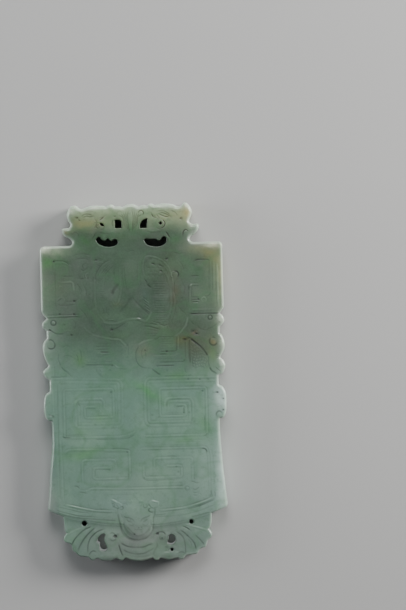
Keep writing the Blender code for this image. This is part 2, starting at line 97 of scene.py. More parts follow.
LEFT_CREST = outline("""
    0,69.98 -.7,69.85 -1.2,69.6 -1.6,69.45 -2,69.58 -2.4,69.6 -3,69.55 / -3.3,69.85 -3.7,69.97 -4.1,69.9
    -4.8,69.6 / -5.3,69.75 -6.8,69.85 -7.7,69.8 -8.5,69.55 -9.2,69.3 -9.7,69.25 / -10.1,69.4 -10.4,69.75
    -10.9,69.95 -11.7,69.7 -12.2,69 -12.43,68 -12.2,67 -11.85,66.4 -11.8,65.95 -12.1,65.55 / -12.8,65.5
    -13.3,65.45 -13.48,65.2 -13.3,64.5 -12.9,63.95 -12.2,63.6 -11.6,63.1 -11.5,62.65 -11.7,62.25
    -12.05,62.05 -12.7,62.05""")
RIGHT_CREST = outline("""
    0,69.98 .7,69.92 1.1,69.7 1.7,69.45 2.2,69.6 2.7,69.68 3.3,69.6 / 3.6,69.85 4,69.97 4.4,69.87 4.8,69.7
    / 5.8,69.85 6.5,69.93 7.5,69.85 8.5,69.65 9,69.35 9.5,69.25 / 10,69.4 10.3,69.8 10.7,69.96 11.2,69.8
    11.7,69.2 12,68.6 12.05,68 11.9,67.4 11.6,66.8 11.5,66.4 11.7,65.95 12.1,65.72 / 12.6,65.75 13.1,65.78
    13.38,65.45 13.3,64.85 13,64.3 12.5,63.85 11.9,63.5 11.55,63.15 11.5,62.8 11.7,62.4 12.1,62.22
    12.7,62.2""")
LEFT_FLANK = end_to_end([(-12.7, 62.05)], round_about(-17.05, 61.18, .87, 90, 180), outline("""
    -17.92,61.1 -17.92,49.6 / -17.85,49.2 -17.5,48.6 -17.05,48.15 -16.95,47.9 / -17.2,47.6 -17.65,47.25
    -17.85,46.7 -17.7,46.15 -17.3,45.8 -17,45.55 / -16.97,43.95 / -17.35,43.65 -17.7,43 -17.8,42.2
    -17.75,41.4 -17.5,40.4 -17.2,39.5 -16.9,38.95 -16.78,38.6 / -17,38.38 -17.35,38.15 -17.7,37.8
    -17.85,37.3 -17.6,36.7 -17.2,36.25 -16.75,36 / -16.65,35.7 -16.63,33.75 / -16.8,33.5 -17.2,33.3
    -17.6,32.8 -17.8,32 -17.87,31 -17.8,29.5 -17.6,28.6 -17.2,28.05 -16.8,27.87 -16.4,27.8 / -16.42,25
    -16.55,22 -17,18 -17.3,14 -17.6,10.9 / -17.58,10.4 -17.2,10.05 -16,9.6 -15,9.17 -14.6,9.02"""))
RIGHT_FLANK = end_to_end([(12.7, 62.2)], round_about(17.0, 61.33, .87, 90, 0), outline("""
    17.86,61.2 17.86,49.6 / 17.8,49.2 17.4,48.6 17,48.15 / 17.25,47.95 17.6,47.6 17.85,47 17.8,46.4
    17.4,45.9 16.95,45.5 / 16.93,44.2 / 17.15,44.08 17.5,43.5 17.75,42.7 17.85,42 17.75,41.2 17.4,40.4
    17,39.7 16.93,39.4 / 17.15,39.25 17.5,38.9 17.8,38.3 17.85,37.7 17.6,36.9 17.2,36.3 16.6,36.05 /
    16.48,35.8 16.48,34.1 / 17.1,33.8 17.5,33.3 17.8,32.6 17.88,31.8 17.87,29.5 17.75,28.7 17.5,28
    17.1,27.62 16.5,27.55 / 16.52,25 16.7,21.5 17,17.5 17.3,14.2 17.62,11 / 17.6,10.5 17.2,10.05 16,9.6
    15,9.2 14.45,8.98"""))
LEFT_LIP = outline("-14.6,9.02 -13,8.5 -12,8.25 -10,7.9 -8,7.5 -6,7.2 -4,7.05 0,6.9")
RIGHT_LIP = outline("14.45,8.98 13,8.5 11,7.95 9,7.4 7,7.1 5,6.85 3,6.75 0,6.9")
LEFT_FOOT = outline("""
    -14.6,9.02 -14.52,7.5 -14.45,6.6 -14.3,6.05 -14.1,5.75 / -14.4,5.4 -14.65,4.9 -14.62,4.4 -14.4,4.05
    -14,3.9 / -13.6,3.8 -13.2,3.5 -13.1,3.2 -13,2.6 -12.85,2.2 / -12.4,2 -12,1.5 -11.5,1.18 / -10.8,1.1
    -10,1 -9.6,.6 / -9.2,.33 -8.8,.33 -8.5,.6 -8.1,.7 / -7.8,.6 -7.4,.33 -7,.24 -6.2,.2 -5.4,.2 -5.1,.42
    -4.6,.6 / -4.2,.53 -4,.33 -3.6,.18 -3.2,.2 -2.9,.45 -2.6,.65 / -2.2,.5 -1.5,.2 -.8,.06 0,.02""")
RIGHT_FOOT = outline("""
    14.45,8.98 14.38,7.5 14.2,6.6 14,6.15 13.8,5.9 / 14.1,5.6 14.4,5 14.3,4.4 13.95,4.05 / 13.6,3.75
    13.4,3.2 13.2,2.6 12.95,2.35 / 12.2,2.15 11.8,1.8 11.6,1.4 11.3,1.12 / 10.5,1 9.5,.87 9.1,.72 / 8.9,.5
    8.6,.17 8.1,.12 7.8,.33 7.45,.42 / 6.8,.28 6.2,.16 5.6,.16 5,.35 4.3,.47 / 4,.38 3.8,.15 3.4,.06 3,.2
    2.8,.48 2.55,.58 / 2,.35 1.3,.15 .6,.06 0,.02""")
LEFT_SIDE = end_to_end(LEFT_CREST, LEFT_FLANK)
RIGHT_SIDE = end_to_end(RIGHT_CREST, RIGHT_FLANK)[::-1]
WHOLE = end_to_end(LEFT_SIDE, LEFT_FOOT, RIGHT_FOOT[::-1], RIGHT_SIDE)[:-1]
BODY = end_to_end(LEFT_SIDE, LEFT_LIP, RIGHT_LIP[::-1], RIGHT_SIDE)[:-1]
WING_TOP = outline("""
    13.8,5.9 13,6.1 12,6.4 11.2,6.65 10,6.98 9,7.1 6,7.5 0,8 / -6,7.5 -8,7.25 -10,7.12 -11,7 -12,6.7
    -13,6.3 -14.1,5.75""")
BAT = end_to_end(LEFT_FOOT[LEFT_FOOT[:, 1] < 5.8], RIGHT_FOOT[RIGHT_FOOT[:, 1] < 5.95][::-1], WING_TOP)[:-1]
GROUND = np.array([(-15, 9.6), (-15, 4), (0, 3), (15, 4), (15, 9.6)], float)

OPENINGS = {
    "left nostril": end_to_end([(-1.75, 65.3), (-1.75, 66.3)], round_about(-2.35, 66.3, .6, 0, 90),
                               [(-3.05, 66.9), (-3.05, 65.3)]),
    "right nostril": end_to_end([(3.15, 65.2), (3.35, 67.03)],
                                outline("3.35,67.03 2.9,66.95 2.3,66.6 1.9,66.05 1.85,65.2")),
    "left mouth": outline("""
        -6.85,63.1 -6.6,63.5 -6.3,63.6 -6,63.5 -5.8,63.15 -5.2,62.85 / -4.9,63 -4.5,63.3 -4.2,63.05
        -3.8,62.75 / -3.5,63 -3.1,63.1 -2.7,62.9 -2.55,62.5 -2.8,62.1 -3.4,61.8 -4.3,61.68 -5.2,61.8
        -6,62.1 -6.6,62.6 -6.85,63.1""")[:-1],
    "right mouth": outline("""
        2.6,62.75 2.7,63 3.2,63.05 3.7,62.97 4.3,62.97 4.8,62.97 5.4,62.62 / 5.8,62.8 6.1,63.2 6.5,63.4
        6.85,63.2 7,62.8 6.85,62.3 6.4,61.85 5.8,61.6 4.9,61.5 4.2,61.6 3.4,61.8 2.9,62.2 2.6,62.75""")[:-1],
    "left eye": outline("""
        -5.2,65.78 -5.45,65.72 -5.75,65.85 -5.98,66.15 -5.9,66.35 -5.6,66.28 -5.3,66.08
        -5.2,65.78""", step=.1)[:-1],
    "right eye": round_about(5.88, 66.05, .27, 0, 340, .1),
    "left hole": round_about(-10.55, 7.62, .5, 0, 350, .12),
    "right hole": round_about(10.4, 7.45, .43, 0, 350, .12),
    "left wing window": outline("""
        -6.85,5.5 -7.5,5.2 -8.05,4.5 -8.2,3.85 -7.75,3.5 -7.75,2.8 -7.4,2.2 -6.7,2.1 -6.25,2.5 -6.4,3.2
        -6.7,3.9 -6.75,4.6 -6.55,5.2 -6.85,5.5""")[:-1],
    "right wing window": outline("""
        6,4.9 6.5,5.05 7,4.7 7.2,4 7,3.35 6.4,3 5.75,3.15 5.55,3.6 5.85,4.1 5.8,4.55 6,4.9""")[:-1],
    "right wing drill": round_about(6.45, 2.1, .3, 0, 340, .1),
}


# The carving on the face. Threads of jade stand between two cut lines, in the way of old
# bronzes, and finer lines are cut with a wheel, their ends left where the drill went in.

strokes = []
swells = []


# the last number of a stroke sets how dark its colour is painted for its depth: part dirt in the cut, part
# painted shade
def stroke(line, across, height, fade=0.35, pace=0.24, dirt_and_shade=1.0):
    """A carved line: its height above the face at some distances from its middle, fading at its ends."""
    strokes.append((evenly(line, pace), np.array(across, float), np.array(height, float), fade, dirt_and_shade))


def thread(line, strength=1.0, fade=0.5):
    """A raised thread between two cuts: a crest at 0, troughs at 0.28 mm, level again at 0.5 mm."""
    up, down = 0.013 * strength, -0.024 * strength
    stroke(line, (0, .1, .19, .28, .37, .5), (up, up * .7, down * .5, down, down * .6, 0), fade, 0.26, 1.7)


def pair(line, strength=1.0, fade=0.5):
    """Two threads side by side: a trough at 0, crests at 0.35 mm and troughs outside them at 0.63 mm."""
    up, down = 0.015 * strength, -0.027 * strength
    stroke(line, (0, .1, .23, .35, .47, .63, .82),
           (down, down * .6, up * .6, up, up * .5, down * .8, 0), fade, .26, 1.7)


def cut(line, width=0.34, depth=0.13, fade=0.4):
    """A wheel-cut line: deepest at its middle and level again at half its width."""
    # the cut is kept shallow and its colour is darkened instead: part dirt, part painted shade
    depth *= .18
    stroke(line, (0, width * .22, width * .42, width * .62),
           (-depth, -depth * .75, -depth * .2, 0), fade, .22, 3.6)


def rib(line, width=0.5, rise=0.1, fade=0.4):
    """A raised line: highest at its middle, level again at half its width, with a shallow cut beside it."""
    width, rise = width * .9, rise * .2
    stroke(line, (0, width * .22, width * .45, width * .65, width * .9),
           (rise, rise * .75, 0, -rise * .4, 0), fade, 0.24)


def pit(x, y, width=0.45, depth=0.3):
    """Where a drill stood: a short line, deep in its middle."""
    depth *= .2
    stroke([(x - .04, y), (x + .04, y)], (0, width * .22, width * .38, width * .55),
           (-depth, -depth * .8, -depth * .2, 0), 0, .08, 3.2)


def swell(x, y, wide, high, rise, turn=0):
    """A softly rounded form: rise times exp(-(u2 + v2)), over the half sizes, turned by degrees."""
    swells.append((x, y, wide, high, rise, math.radians(turn)))


def turned(*corners, radius=0.55):
    """A line of straight runs whose corners are rounded, each by a quadratic between two points."""
    line = [np.array([corners[0]], float)]
    for before, here, after in zip(corners, corners[1:], corners[2:]):
        before, here, after = (np.array(p, float) for p in (before, here, after))
        start = here + (before - here) * min(radius / np.hypot(*(before - here)), .45)
        end = here + (after - here) * min(radius / np.hypot(*(after - here)), .45)
        t = np.linspace(0, 1, 6)[:, None]
        line.append((1 - t) ** 2 * start + 2 * t * (1 - t) * here + t ** 2 * end)
    return np.vstack(line + [np.array([corners[-1]], float)])


def squared(start, *stops):
    """The corners of a squared scroll: from its start along x to the first stop, then along y, and so on."""
    corners = [start]
    for leg, stop in enumerate(stops):
        x, y = corners[-1]
        corners.append((x, stop) if leg % 2 else (stop, y))
    return corners


def carve(plan):
    """Strokes from a written plan: on each line a tool, its sizes and the points it goes through.

    The stroke flows through its points, unless a word stands before them: straight, turned for
    straight runs with rounded corners, or ring for a circle's centre, radius, first and last angle.
    A line that begins with a space goes on with the stroke above it.
    """
    tools = {"cut": cut, "rib": rib, "thread": thread, "pair": pair, "pit": pit, "swell": swell}
    ways = {"straight": lambda *points: points, "turned": turned, "ring": lambda circle: round_about(*circle)}
    for row in plan.strip().replace("\n ", " ").splitlines():
        head, path = row.split(":")
        tool, *sizes = head.split()
        way = ways[sizes.pop()] if sizes[-1] in ways else drawn
        sizes = [float(size) for size in sizes]
        if tool in ("pit", "swell"):
            tools[tool](*points_in(path)[0], *sizes)
        else:
            tools[tool](way(*points_in(path)), *sizes)


# Crest: two confronted dragon heads with curled noses, round eyes, hatched brows and horns
for side in (-1, 1):
    cut(round_about(2.1 * side, 68.12, .5, 90 - 140 * side, 90 + 90 * side), .26, .2 + .12 * side)
    swell(2.1 * side, 68.3, 1.0, .9, .14)
    for k, (low, high) in enumerate(((.55, .4), (.8, .85), (1.05, 1.3), (1.3, 1.75), (1.5, 2.2))):
        cut(drawn((high * side, 68.6 - .2 * k), (low * side, 67.3), ((low - .12) * side, 66.2),
                  ((low - .25) * side, 64.6 + .25 * k)), .22, .16)
    swell(5.75 * side, 66.0, 1.5, 1.4, .2)
    swell(11.0 * side, 68.6, 1.1, 1.3, .25)
    swell(7.2 * side, 68.6, 2.4, .9, .2)
    swell(4.2 * side, 64.3, 2.2, .9, .16)
    swell(9.0 * side, 65.0, 2.0, 2.2, .2)
    swell(12.7 * side, 64.9, .9, .6, .12)
carve("""
cut .28 .048: 4.25,68.6 5,68.95 6,68.85 6.9,68.5
cut .28 .32: 4.15,68 4.45,67.4 5,67.1
cut .28 .144: 5.2,68.35 6.2,68.5 7.1,68.15 7.8,67.6
cut .28 .272: 5.6,67.9 6.1,67.6 6.8,67.3 7.6,67.3
cut .28 .192: 5.8,68.2 6.6,67.95 7.3,67.65 8,67.2
cut .28 .144: 8,68.5 8.8,68.1 9.3,67.4
cut .28 .448: 6.3,66.75 6.72,66.1 6.55,65.4 6,65
cut .28 .128: 5,65.3 5.5,64.95 6.2,64.75
cut .28 .32: 6.95,64.3 7.25,63.75 7.65,63.15
cut .28 .576: 10.15,63.55 10.3,64.25 10.75,64.65 11.3,64.35
cut .28 .224: -9.6,67.7 -9,68.1 -8.2,68.15 -7.5,67.95
cut .28 .256: -9.2,67.55 -8.5,67.75 -7.9,67.6 -7.2,67.75
cut .28 .048: -8.9,68.6 -7.9,68.75 -7,68.5
cut .28 .048: -10.1,69 -9.8,68.3 -9.9,67.6
cut .28 .512: -5.1,67.6 -5.5,67.25 -6,66.9
cut .28 .16: -7,67.2 -6.6,66.6 -6.75,65.8 -6.3,65.2
cut .28 .16: -5,65.4 -5.5,65.1 -6,65.15
cut .28 .08: -10.2,63.8 -10.4,64.4 -10.9,64.7 -11.4,64.4
cut .28 .192: -3.35,66.9 -3.6,66.3 -3.45,65.6
cut .28 .16: -6.95,64.3 -7.3,63.7 -7.6,63.2
cut .28 .112: 2.6,64.7 4.4,64.25 6.2,64.5
cut .28 .112: -2.6,64.7 -4.4,64.25 -6.2,64.5
cut .3 .22: 5.15,67.8 5.45,67.35 5.8,66.9
cut .3 .16: -4.7,67.9 -5.3,67.55 -6.1,67.25
""")
for k in range(9):
    cut([(3.7, 66.6 - .3 * k), (4.9, 66.55 - .3 * k)], .2, .13)
for k in range(15):
    x, y = -6.9 + .42 * (k % 5) + .2 * (k // 5 % 2), 66.4 - .42 * (k // 5)
    if not (-6.2 < x < -5.0 and 65.6 < y < 66.5):
        pit(x, y, .3, .13)
carve("""
pit .4 .16: 5.65,67
pit .6 .5: 9.85,66.9
pit .5 .36: -10.35,67.5
pit .45 .4: -10,67
pit .42 .22: -3,67.6
pit .4 .1: -9,67.1
""")

# Upper block: squared scrolls on each side of the mask
carve("""
thread .35 turned: -11.9,58 -12.7,58.6 -13.5,58.8 -15.2,58.8 -15.2,57.2
cut .3 .13: -15.35,58.9 -14.8,59.15 -13.5,59.1 -12.7,58.75 -12.2,58.3
pit .55 .3: -15.2,59.05
cut .34 .1: -13.5,56.1 -11.6,56.1
rib .55 .12 turned: -14,54.9 -11.55,54.95 -11.5,53.2
rib .5 .08: -14.4,54.15 -13.7,54.1
rib .4 .09: -14.9,51.3 -14.3,51.9 -13.7,52 -13.3,51.5 -13.6,51
cut .3 .2: -14.7,51.2 -14.2,51.6 -13.8,51.75
pit .6 .36: -11.45,51.2
cut .26 .09: -13.2,51.2 -11.5,51.18
cut .28 .08: -14.6,50.75 -13.9,50.4 -11.3,50.55
thread .15: -16.6,57.5 -16.6,49.6
cut .3 .05: -15.05,58 -15.05,50.2
cut .3 .08: -10.4,54 -10.3,53.1
rib .4 .09: -10.25,52.5 -10.25,51.9
cut .3 .12: -16.8,48.58 -10.5,48.6
pit .6 .36: -14.35,48.68
pit .65 .26: -11.55,48.6
cut .34 .17: -17,48 -10.5,48.12
rib .4 .07: -17,48.3 -10.6,48.35
cut .36 .24 turned: 12.4,58.5 12.9,58.72 15,58.7 15.3,58.35
cut .26 .06: 13.8,59.25 15.6,59.15
pair 1.1: 15.75,58.4 15.7,52.6
cut .3 .1: 15.35,58.3 15.33,53
cut .28 .1: 15.3,52.4 15.2,51.9 14.6,51.5 14.1,51.7
swell .55 .4 .14: 13.15,57.3
cut .36 .28: 11.55,55.52 13.1,55.5
thread .8 turned: 13.1,53.85 11.35,53.85 11.2,50.2
swell .3 .35 .12: 11.35,53.6
""")
for k, y in enumerate((51.35, 50.92, 50.45)):
    cut([(11.6, y), (13.1, y)], .28, (.2, .3, .24)[k])
carve("""
pit .5 .45: 12.9,50.92
rib .34 .22 ring: 13.95,50.85,.45,-60,230
pit .55 .16: 9.7,51.25
cut .3 .06: 10.6,50.9 10.6,49.4
rib .55 .25: 16.75,57.8 16.8,49.6
cut .36 .24: 11.2,48.15 17,48.12
cut .4 .24: 11.3,48.12 12.6,48.12
cut .26 .07: 11.4,48.62 15.6,48.6
rib .4 .06: 11.4,48.95 16,48.95
""")

# Mask: a horned face with slanting eyes, a broad nose and a long lip, all in double lines
carve("""
thread .6: -4.2,58.9 -4.9,58.5 -5.6,58 -6.4,57.2 -7,56.2 -7.35,55.2 -7.35,53.6
cut .26 .16: -7.25,55.2 -6.95,56.5 -6.3,57.6 -5.3,58.6 -4.3,59
thread .45: -7.3,54 -7.35,52 -7.2,50 -6.95,49 -6.3,47.9 -5.6,47.1
cut .24 .06: -7.75,53.5 -7.8,51.5 -7.5,49.4 -6.9,48
""")
for k in range(3):
    x, y = -5.9 + .3 * k, 56.5 - .2 * k
    cut(drawn((x, y), (x + .8, y + 1), (x + 1.8, y + 1.9)), .2, .12)
for k in range(8):
    cut([(-5.8 + .24 * k, 57.2 + .2 * k), (-5.3 + .24 * k, 56.7 + .17 * k)], .16, .08)
for k in range(4):
    cut([(-7.0 + .26 * k, 54.9), (-6.6 + .26 * k, 55.5)], .16, .1)
    cut([(-6.6 + .2 * k, 54.3 + .3 * k), (-7.0 + .2 * k, 54.7 + .3 * k)], .16, .08)
carve("""
pit .55 .3: -6.95,59.15
rib .45 .1: -6.6,58.6 -6.1,58.7 -5.3,58.55
cut .24 .08: -6.9,59.15 -6.2,59.3 -5.4,59.1
cut .3 .1: -6.8,58.2 -6.4,58 -6,58.05
cut .9 .17: -4.05,52.35 -3.65,53.1 -3.15,53.8 -2.65,54.5
rib .4 .05: -3.4,52.6 -3,53.3 -2.6,53.8
thread .45: -2.35,57.4 -2.3,55 -2.2,53.2 -2.45,51.8 -2.9,50.6 -3.5,50.3 -4,51.2
swell 2.2 3.6 .14: -4.6,52.9
cut .26 .06: -1.5,57.5 -1.3,55 -1,52.9
cut .26 .05: -1.9,57.8 -1.8,55.4 -1.6,53.6
cut .26 .06: -3.3,57.6 -3.5,56.2 -3.1,55.2
cut .26 .05: -5.2,55.6 -5.4,54.2 -5.1,53
cut .26 .08: -5.9,49.9 -5.7,49 -6,48.5
cut .26 .05: -5,50 -5.2,49 -4.6,48.2
cut .26 .05: -4.4,51.6 -4.6,50.6 -4.2,49.6
""")
for k in range(7):
    cut([(-6.5, 53.8 - .42 * k), (-5.0 - .1 * (k % 3), 53.75 - .42 * k)], .2, .06)
carve("""
rib .55 .1: -5.8,47 -5.2,46.75 -4.4,46.65 -3.4,46.65 -2.5,46.8 -1.8,47.1 -1,47.35
rib .6 .17: -1.2,47.3 0,47.42 1,47.37 1.6,47.15 2.4,47 2.9,47.35 3.3,48 3.65,48.8
swell .4 .17 .09: 1.2,47.38
cut .28 .1: -5.6,47.35 -3.6,47.15
rib .36 .08: -5,47.35 -3.7,47.32
cut .6 .09: -2.6,48.8 -1.5,49.9 -.7,51 -.05,51.75
cut .5 .11: -.05,51.75 .5,51 1.2,50.2 2,49.4 2.7,48.75 3.3,48.3
swell 1.4 1.3 .1: 0,49.3
""")
for k in range(5):
    cut([(2.0 + .12 * k, 51.7 - .62 * k), (3.0 + .1 * k, 50.9 - .6 * k)], .22, .1)
    rib([(2.3 + .12 * k, 51.2 - .62 * k), (3.2 + .1 * k, 50.5 - .6 * k)], .24, .06)
carve("""
pit .6 .34: -4.15,45.42
cut .36 .15: -4.1,45.42 -3.2,45.7 -2.2,46.3 -1.5,46.75
cut .22 .04: -3.5,46 -2.8,46.35 -2,46.75
cut .24 .16: 1.8,46.6 3,46.5 4,46.3 4.8,46.1
cut .24 .16: 2,45.95 3.2,45.85 4.5,45.45 5.2,45.3
cut .24 .16: 5,46.35 6.1,46 6.9,46.3
cut .24 .16: 3.7,46.95 4.6,46.65 5.4,46.5
cut .24 .05: 2.4,45.35 3.6,45.2 4.8,44.95
rib .3 .04: 3.4,46.1 4,45.95 4.8,45.75
rib .3 .04: 6.7,45.8 6.9,46.6 7.3,47.2
""")
for k in range(5):
    cut([(6.6 + .36 * k, 45.3 + .08 * k), (7.2 + .32 * k, 46.9 - .05 * k)], .16, .08)
    cut([(6.7 + .3 * k, 46.6 - .1 * k), (7.4 + .25 * k, 45.4 + .12 * k)], .16, .08)
carve("""
thread .5: 2.35,55.8 2.2,57.2 2.3,58.6 2.7,59.4 3.4,59.6 4.6,59.35 5.8,58.85 6.8,57.9 7.4,56.9 7.9,55.2
 8.1,53.6
cut .24 .06: 2.75,58.3 3.2,59 4.2,59
thread .3: 1.35,58.2 1.3,54
cut .42 .3: 3.85,58.25 4.6,57.95
cut .36 .26: 5.2,58 5.8,57.65 6.3,57.5
cut .26 .14: 6.2,57.5 6.8,56.8 7.1,56
pit .5 .4: 5.75,56.65
pit .42 .18: 6.5,56.8
pit .6 .4: 6.9,59
""")
for k in range(12):
    x, y = 3.0 + .9 * (k % 4) + .4 * (k // 4 % 2), 57.3 - .75 * (k // 4)
    cut(drawn((x, y), (x + .3, y + .12), (x + .62, y - .1)), .2, .1)
carve("""
cut .4 .24: 8.2,56.5 8.8,56.5 9.15,56 8.95,55.4
rib .36 .14 ring: 8.25,55.9,.6,60,250
swell .5 .5 .03: 8.3,55.9
cut .44 .2: 2.9,54.2 3.3,53.75 3.75,53.45
cut .34 .22: 2.5,55.1 2.9,54.5
swell 2 3.4 .1: 5.2,52.6
""")
for k in range(17):
    y = 54.6 - .47 * k
    cut([(3.9 + .2 * (k % 3), y), (7.0 - .25 * (k % 4), y - .04)], .18, .07 + .02 * (k % 3))
    rib([(5.2 + .2 * (k % 2), y - .24), (6.9, y - .24)], .2, .05)
carve("""
pair .6: 7.9,54 7.85,52 7.95,50.5 7.75,49.2 7.35,48 7,47
thread .4: 6,57 7,55.4 7.3,53.6
cut .3 .16: 8.3,54.6 8.25,53 8.35,52 8.6,51.6
cut .34 .16: 9.2,51.3 9.6,51.25 10,51.3
rib .5 .05: -9.6,46.2 -9.2,45.5 -8.4,44.8
rib .5 .08: -8.6,44.95 -7.6,44.4 -6,43.95 -4.1,43.55 -2.9,43.4
rib .56 .1: -4,43.55 -2.7,43.4 -2.2,42.9 -1.5,42.3
cut .26 .07: -5,44 -3.6,43.85 -2.5,43.65
cut .3 .12: -1.5,42.4 -1,42.1
rib .56 .16: 10.7,47.4 10.5,46.6 10.2,45.8 9.6,45 8.8,44.2 8.1,43.8
rib .55 .17: .9,42.2 1.3,42.55 1.8,42.8 2.8,43.1 3.8,43.3
cut .28 .13: 3.9,43.35 4.6,43.4 5.2,43.75 8,43.75
""")
for y, x0, x1 in ((44.4, 2.4, 4.8), (44.0, 2.6, 4.6), (43.3, 5.2, 7.9), (42.85, 5.2, 7.8), (42.4, 5.2, 7.8)):
    cut([(x0, y), (x1, y)], .2, .08)
carve("""
cut .28 .1: -8.9,58.6 -9.6,58.2 -9.3,57.4 -8.6,57.8
cut .34 .14: -9.9,57.4 -9.5,57.15 -9.1,57.3
rib .3 .12 ring: -8.6,56.1,.5,60,300
pit .45 .18: -8.65,55.6
cut .28 .12: -10.3,55.5 -9.3,55.55
cut .28 .08: -11.2,60.2 -9.6,60.4 -8,60.1
cut .28 .08: -10.9,59.4 -9.4,59.5 -8.2,59.2
cut .28 .08: -10.8,54.6 -10,53.4 -10.2,52.4
cut .28 .08: -9.6,54.4 -9,53.2 -9.1,52
cut .28 .08: -8.9,52.2 -8.5,52.35 -8.1,52.7
cut .28 .08: -9.6,50.8 -8.8,50.2 -8.4,49.2
cut .28 .08: -10.2,49.6 -9.4,48.6 -8.8,47.6
cut .28 .08: 8.2,60.3 9.4,60 10.6,60.2
cut .28 .08: 9.2,58.6 9.9,57.8 10.2,56.8
cut .28 .08: 9.8,54.4 10.3,53.4 10.2,52.2
cut .28 .08: 8.9,49.8 9.6,48.8 10.3,48.2
cut .28 .08: -.5,60.6 0,60.8 .7,60.7
""")

# Birds at the flanks: ring eyes, hooked beaks, curled breasts, scaled wings and long straight tails
carve("""
cut .4 .3 0 ring: -15.6,47.02,.5,0,360
swell .28 .28 .07: -15.6,47.02
cut .34 .22 0 ring: 15.12,47.33,.43,0,360
swell .25 .25 .06: 15.12,47.33
pit .5 .14: -13.4,46.6
cut .28 .07 ring: -12.4,46.6,1.15,-70,80
cut .38 .2: -16.85,45.55 -16.3,45.65 -15.8,45.3 -15.2,44.95 -14.4,44.8 -13.6,44.9
pit .5 .45: -16.35,45.65
rib .4 .07: -13.9,45 -13.3,45.4 -12.7,45.5 -12.2,45.3
cut .28 .14 ring: -17.25,46.55,.35,60,300
pit .5 .26: -12.1,44.58
cut .26 .12: -12.6,44.5 -12.1,44.6 -11.8,44.55
cut .42 .26: -16.75,43.6 -16.2,43.75 -15.7,43.4 -15.42,42.8 -15.5,42.25 -15.9,41.98 -16.4,42 -16.8,42.25
swell .5 .45 .06: -16.25,42.95
pit .5 .3: -15.45,42.5
cut .26 .06: -14,42.2 -13.2,42.5 -12.4,42.3
""")
for k in range(4):
    for j in range(6 - k % 2):
        x, y = -13.6 + .55 * k, 41.6 - .8 * j - .4 * (k % 2)
        cut(drawn((x, y), (x + .35, y + .25), (x + .65, y)), .2, .03)
carve("""
cut .34 .1: -14.75,41 -14.85,40 -14.6,39.3 -14.35,38.5
cut .34 .05: -13.9,40.3 -13.2,40.6 -12.4,40.45 -11.5,39.9 -10.9,39.4
cut .34 .09: -11.4,40.9 -11,40.2 -10.9,39.2
cut .4 .07: -10.5,41.7 -10.3,40.5 -10.4,39.5
cut .42 .12: -14.3,38.5 -14.05,38.1 -13.7,37.75 -13.2,37.35 -12.7,36.85 -12.3,36.5
rib .4 .08: -13.3,37.9 -12.8,37.5 -12.4,37.1
""")
for y, x0, x1, depth in ((42.2, -7.5, -4.5, .07), (41.6, -7.5, -4.9, .08), (40.5, -7.5, -4.6, .08),
                         (40.2, -7.4, -5.9, .07), (39.15, -9.4, -4.3, .05), (42.7, -7.0, -4.6, .05)):
    cut([(x0, y), (x1, y)], .26, depth)
carve("""
cut .34 .2: -6.6,41.1 -4.9,41.02
rib .36 .04: -7.3,40.9 -5.4,40.75
cut .38 .11 straight: -9.6,38.66 -7.6,38.6 -4.3,38.5
pit .5 .16: -4.3,38.45
rib .4 .08: -7.5,38.35 -6,38.32
cut .3 .1: -10.4,38.2 -9.7,38.3
thread .12 turned: -9.6,43.2 -9.3,39.4 -4.2,38.85
cut .34 .04: -7.5,38 -7.25,37.2 -6.6,36.5 -6,36.15
cut .3 .08: -6.8,37.7 -6.3,37.1 -6,37.5
swell .4 .5 .08: -6.4,37
pit .4 .1: -4.75,37.55
rib .4 .09: -3.8,38.5 -3.4,38.1 -2.9,37.95
cut .34 .06: -3,37.75 -1.4,37.6
cut .3 .06: -3.4,39.5 -3,39
cut .4 .05: -1.6,42.6 -1,42.2 -1.1,40.9 -.7,40.2
pit .45 .2: 17,46.4
cut .36 .11: 14.2,44.85 14.9,45.2 15.5,45.45 16.1,45.85 16.5,46.1
cut .3 .1: 11.3,46.7 11.7,46.2 12.1,46
cut .28 .07: 12.6,45.6 13.4,45.1 14.2,44.9
pit .55 .34: 12.35,44.2
pit .5 .2: 11.8,44.75
pit .7 .34: 10.1,43.15
pit .55 .15: 10.95,43.45
cut .5 .36: 11.2,43.3 11.5,43 12.1,42.5 12.8,41.95 13.4,41.35 14,40.55 14.4,39.85
cut .42 .08: 14.3,40.1 14.6,39.3 14.55,38.4 14.8,37.6
cut .5 .17: 14.8,37.7 14.95,37.2 15.3,36.8 15.8,36.5 16.2,36.25
cut .34 .14: 15.3,43.3 15.65,43.45 16.1,43.25
cut .46 .15: 15.1,43.3 14.85,42.8 14.9,42.3 15.25,41.95 15.7,41.85 16.15,42.1 16.3,42.5
swell .45 .45 .05: 15.6,42.75
""")
for k, reach in enumerate((1.1, 1.8, 2.4, 2.9, 3.0, 3.0, 3.0, 2.6)):
    y = 41.9 - .6 * k
    cut(drawn((11.2, y + .3), (11.2 + reach * .35, y - .1), (11.2 + reach * .7, y + .15),
              (11.2 + reach, y - .2)), .3, .09)
for k in range(6):
    x, y = 11.5 + .5 * k, 41.9 - .5 * k
    cut(drawn((x, y), (x + .3, y * .6 + 15.1), (x - .1, y * .3 + 26.4), (x + .15, 37.6)), .28, .08)
for k in range(3):
    cut([(16.1, 40.1 - .3 * k), (16.7, 40.15 - .3 * k)], .22, .24)
    cut(drawn((15.9 + .3 * k, 37.6 - .3 * k), (16.5 + .25 * k, 37.1 - .2 * k)), .24, .2)
carve("""
thread 1.3: 8.75,43.9 8.72,41.2
cut .34 .14 turned: 8.38,43.6 8.36,41 7.9,40.9
thread .8: 10.35,42.9 10.4,39.4
cut .36 .14: 10.95,43.1 10.95,38.6
""")
for y, x0, x1, depth in ((41.95, 5.1, 6.6, .09), (41.5, 5.2, 7.8, .06), (40.38, 5.0, 6.6, .2),
                         (40.9, 5.2, 8.1, .2), (38.82, 4.9, 9.9, .13), (38.12, 4.2, 7.9, .2),
                         (39.5, 4.2, 9.7, .05), (36.05, 5.8, 11.2, .13)):
    cut([(x0, y), (x1, y)], .32, depth)
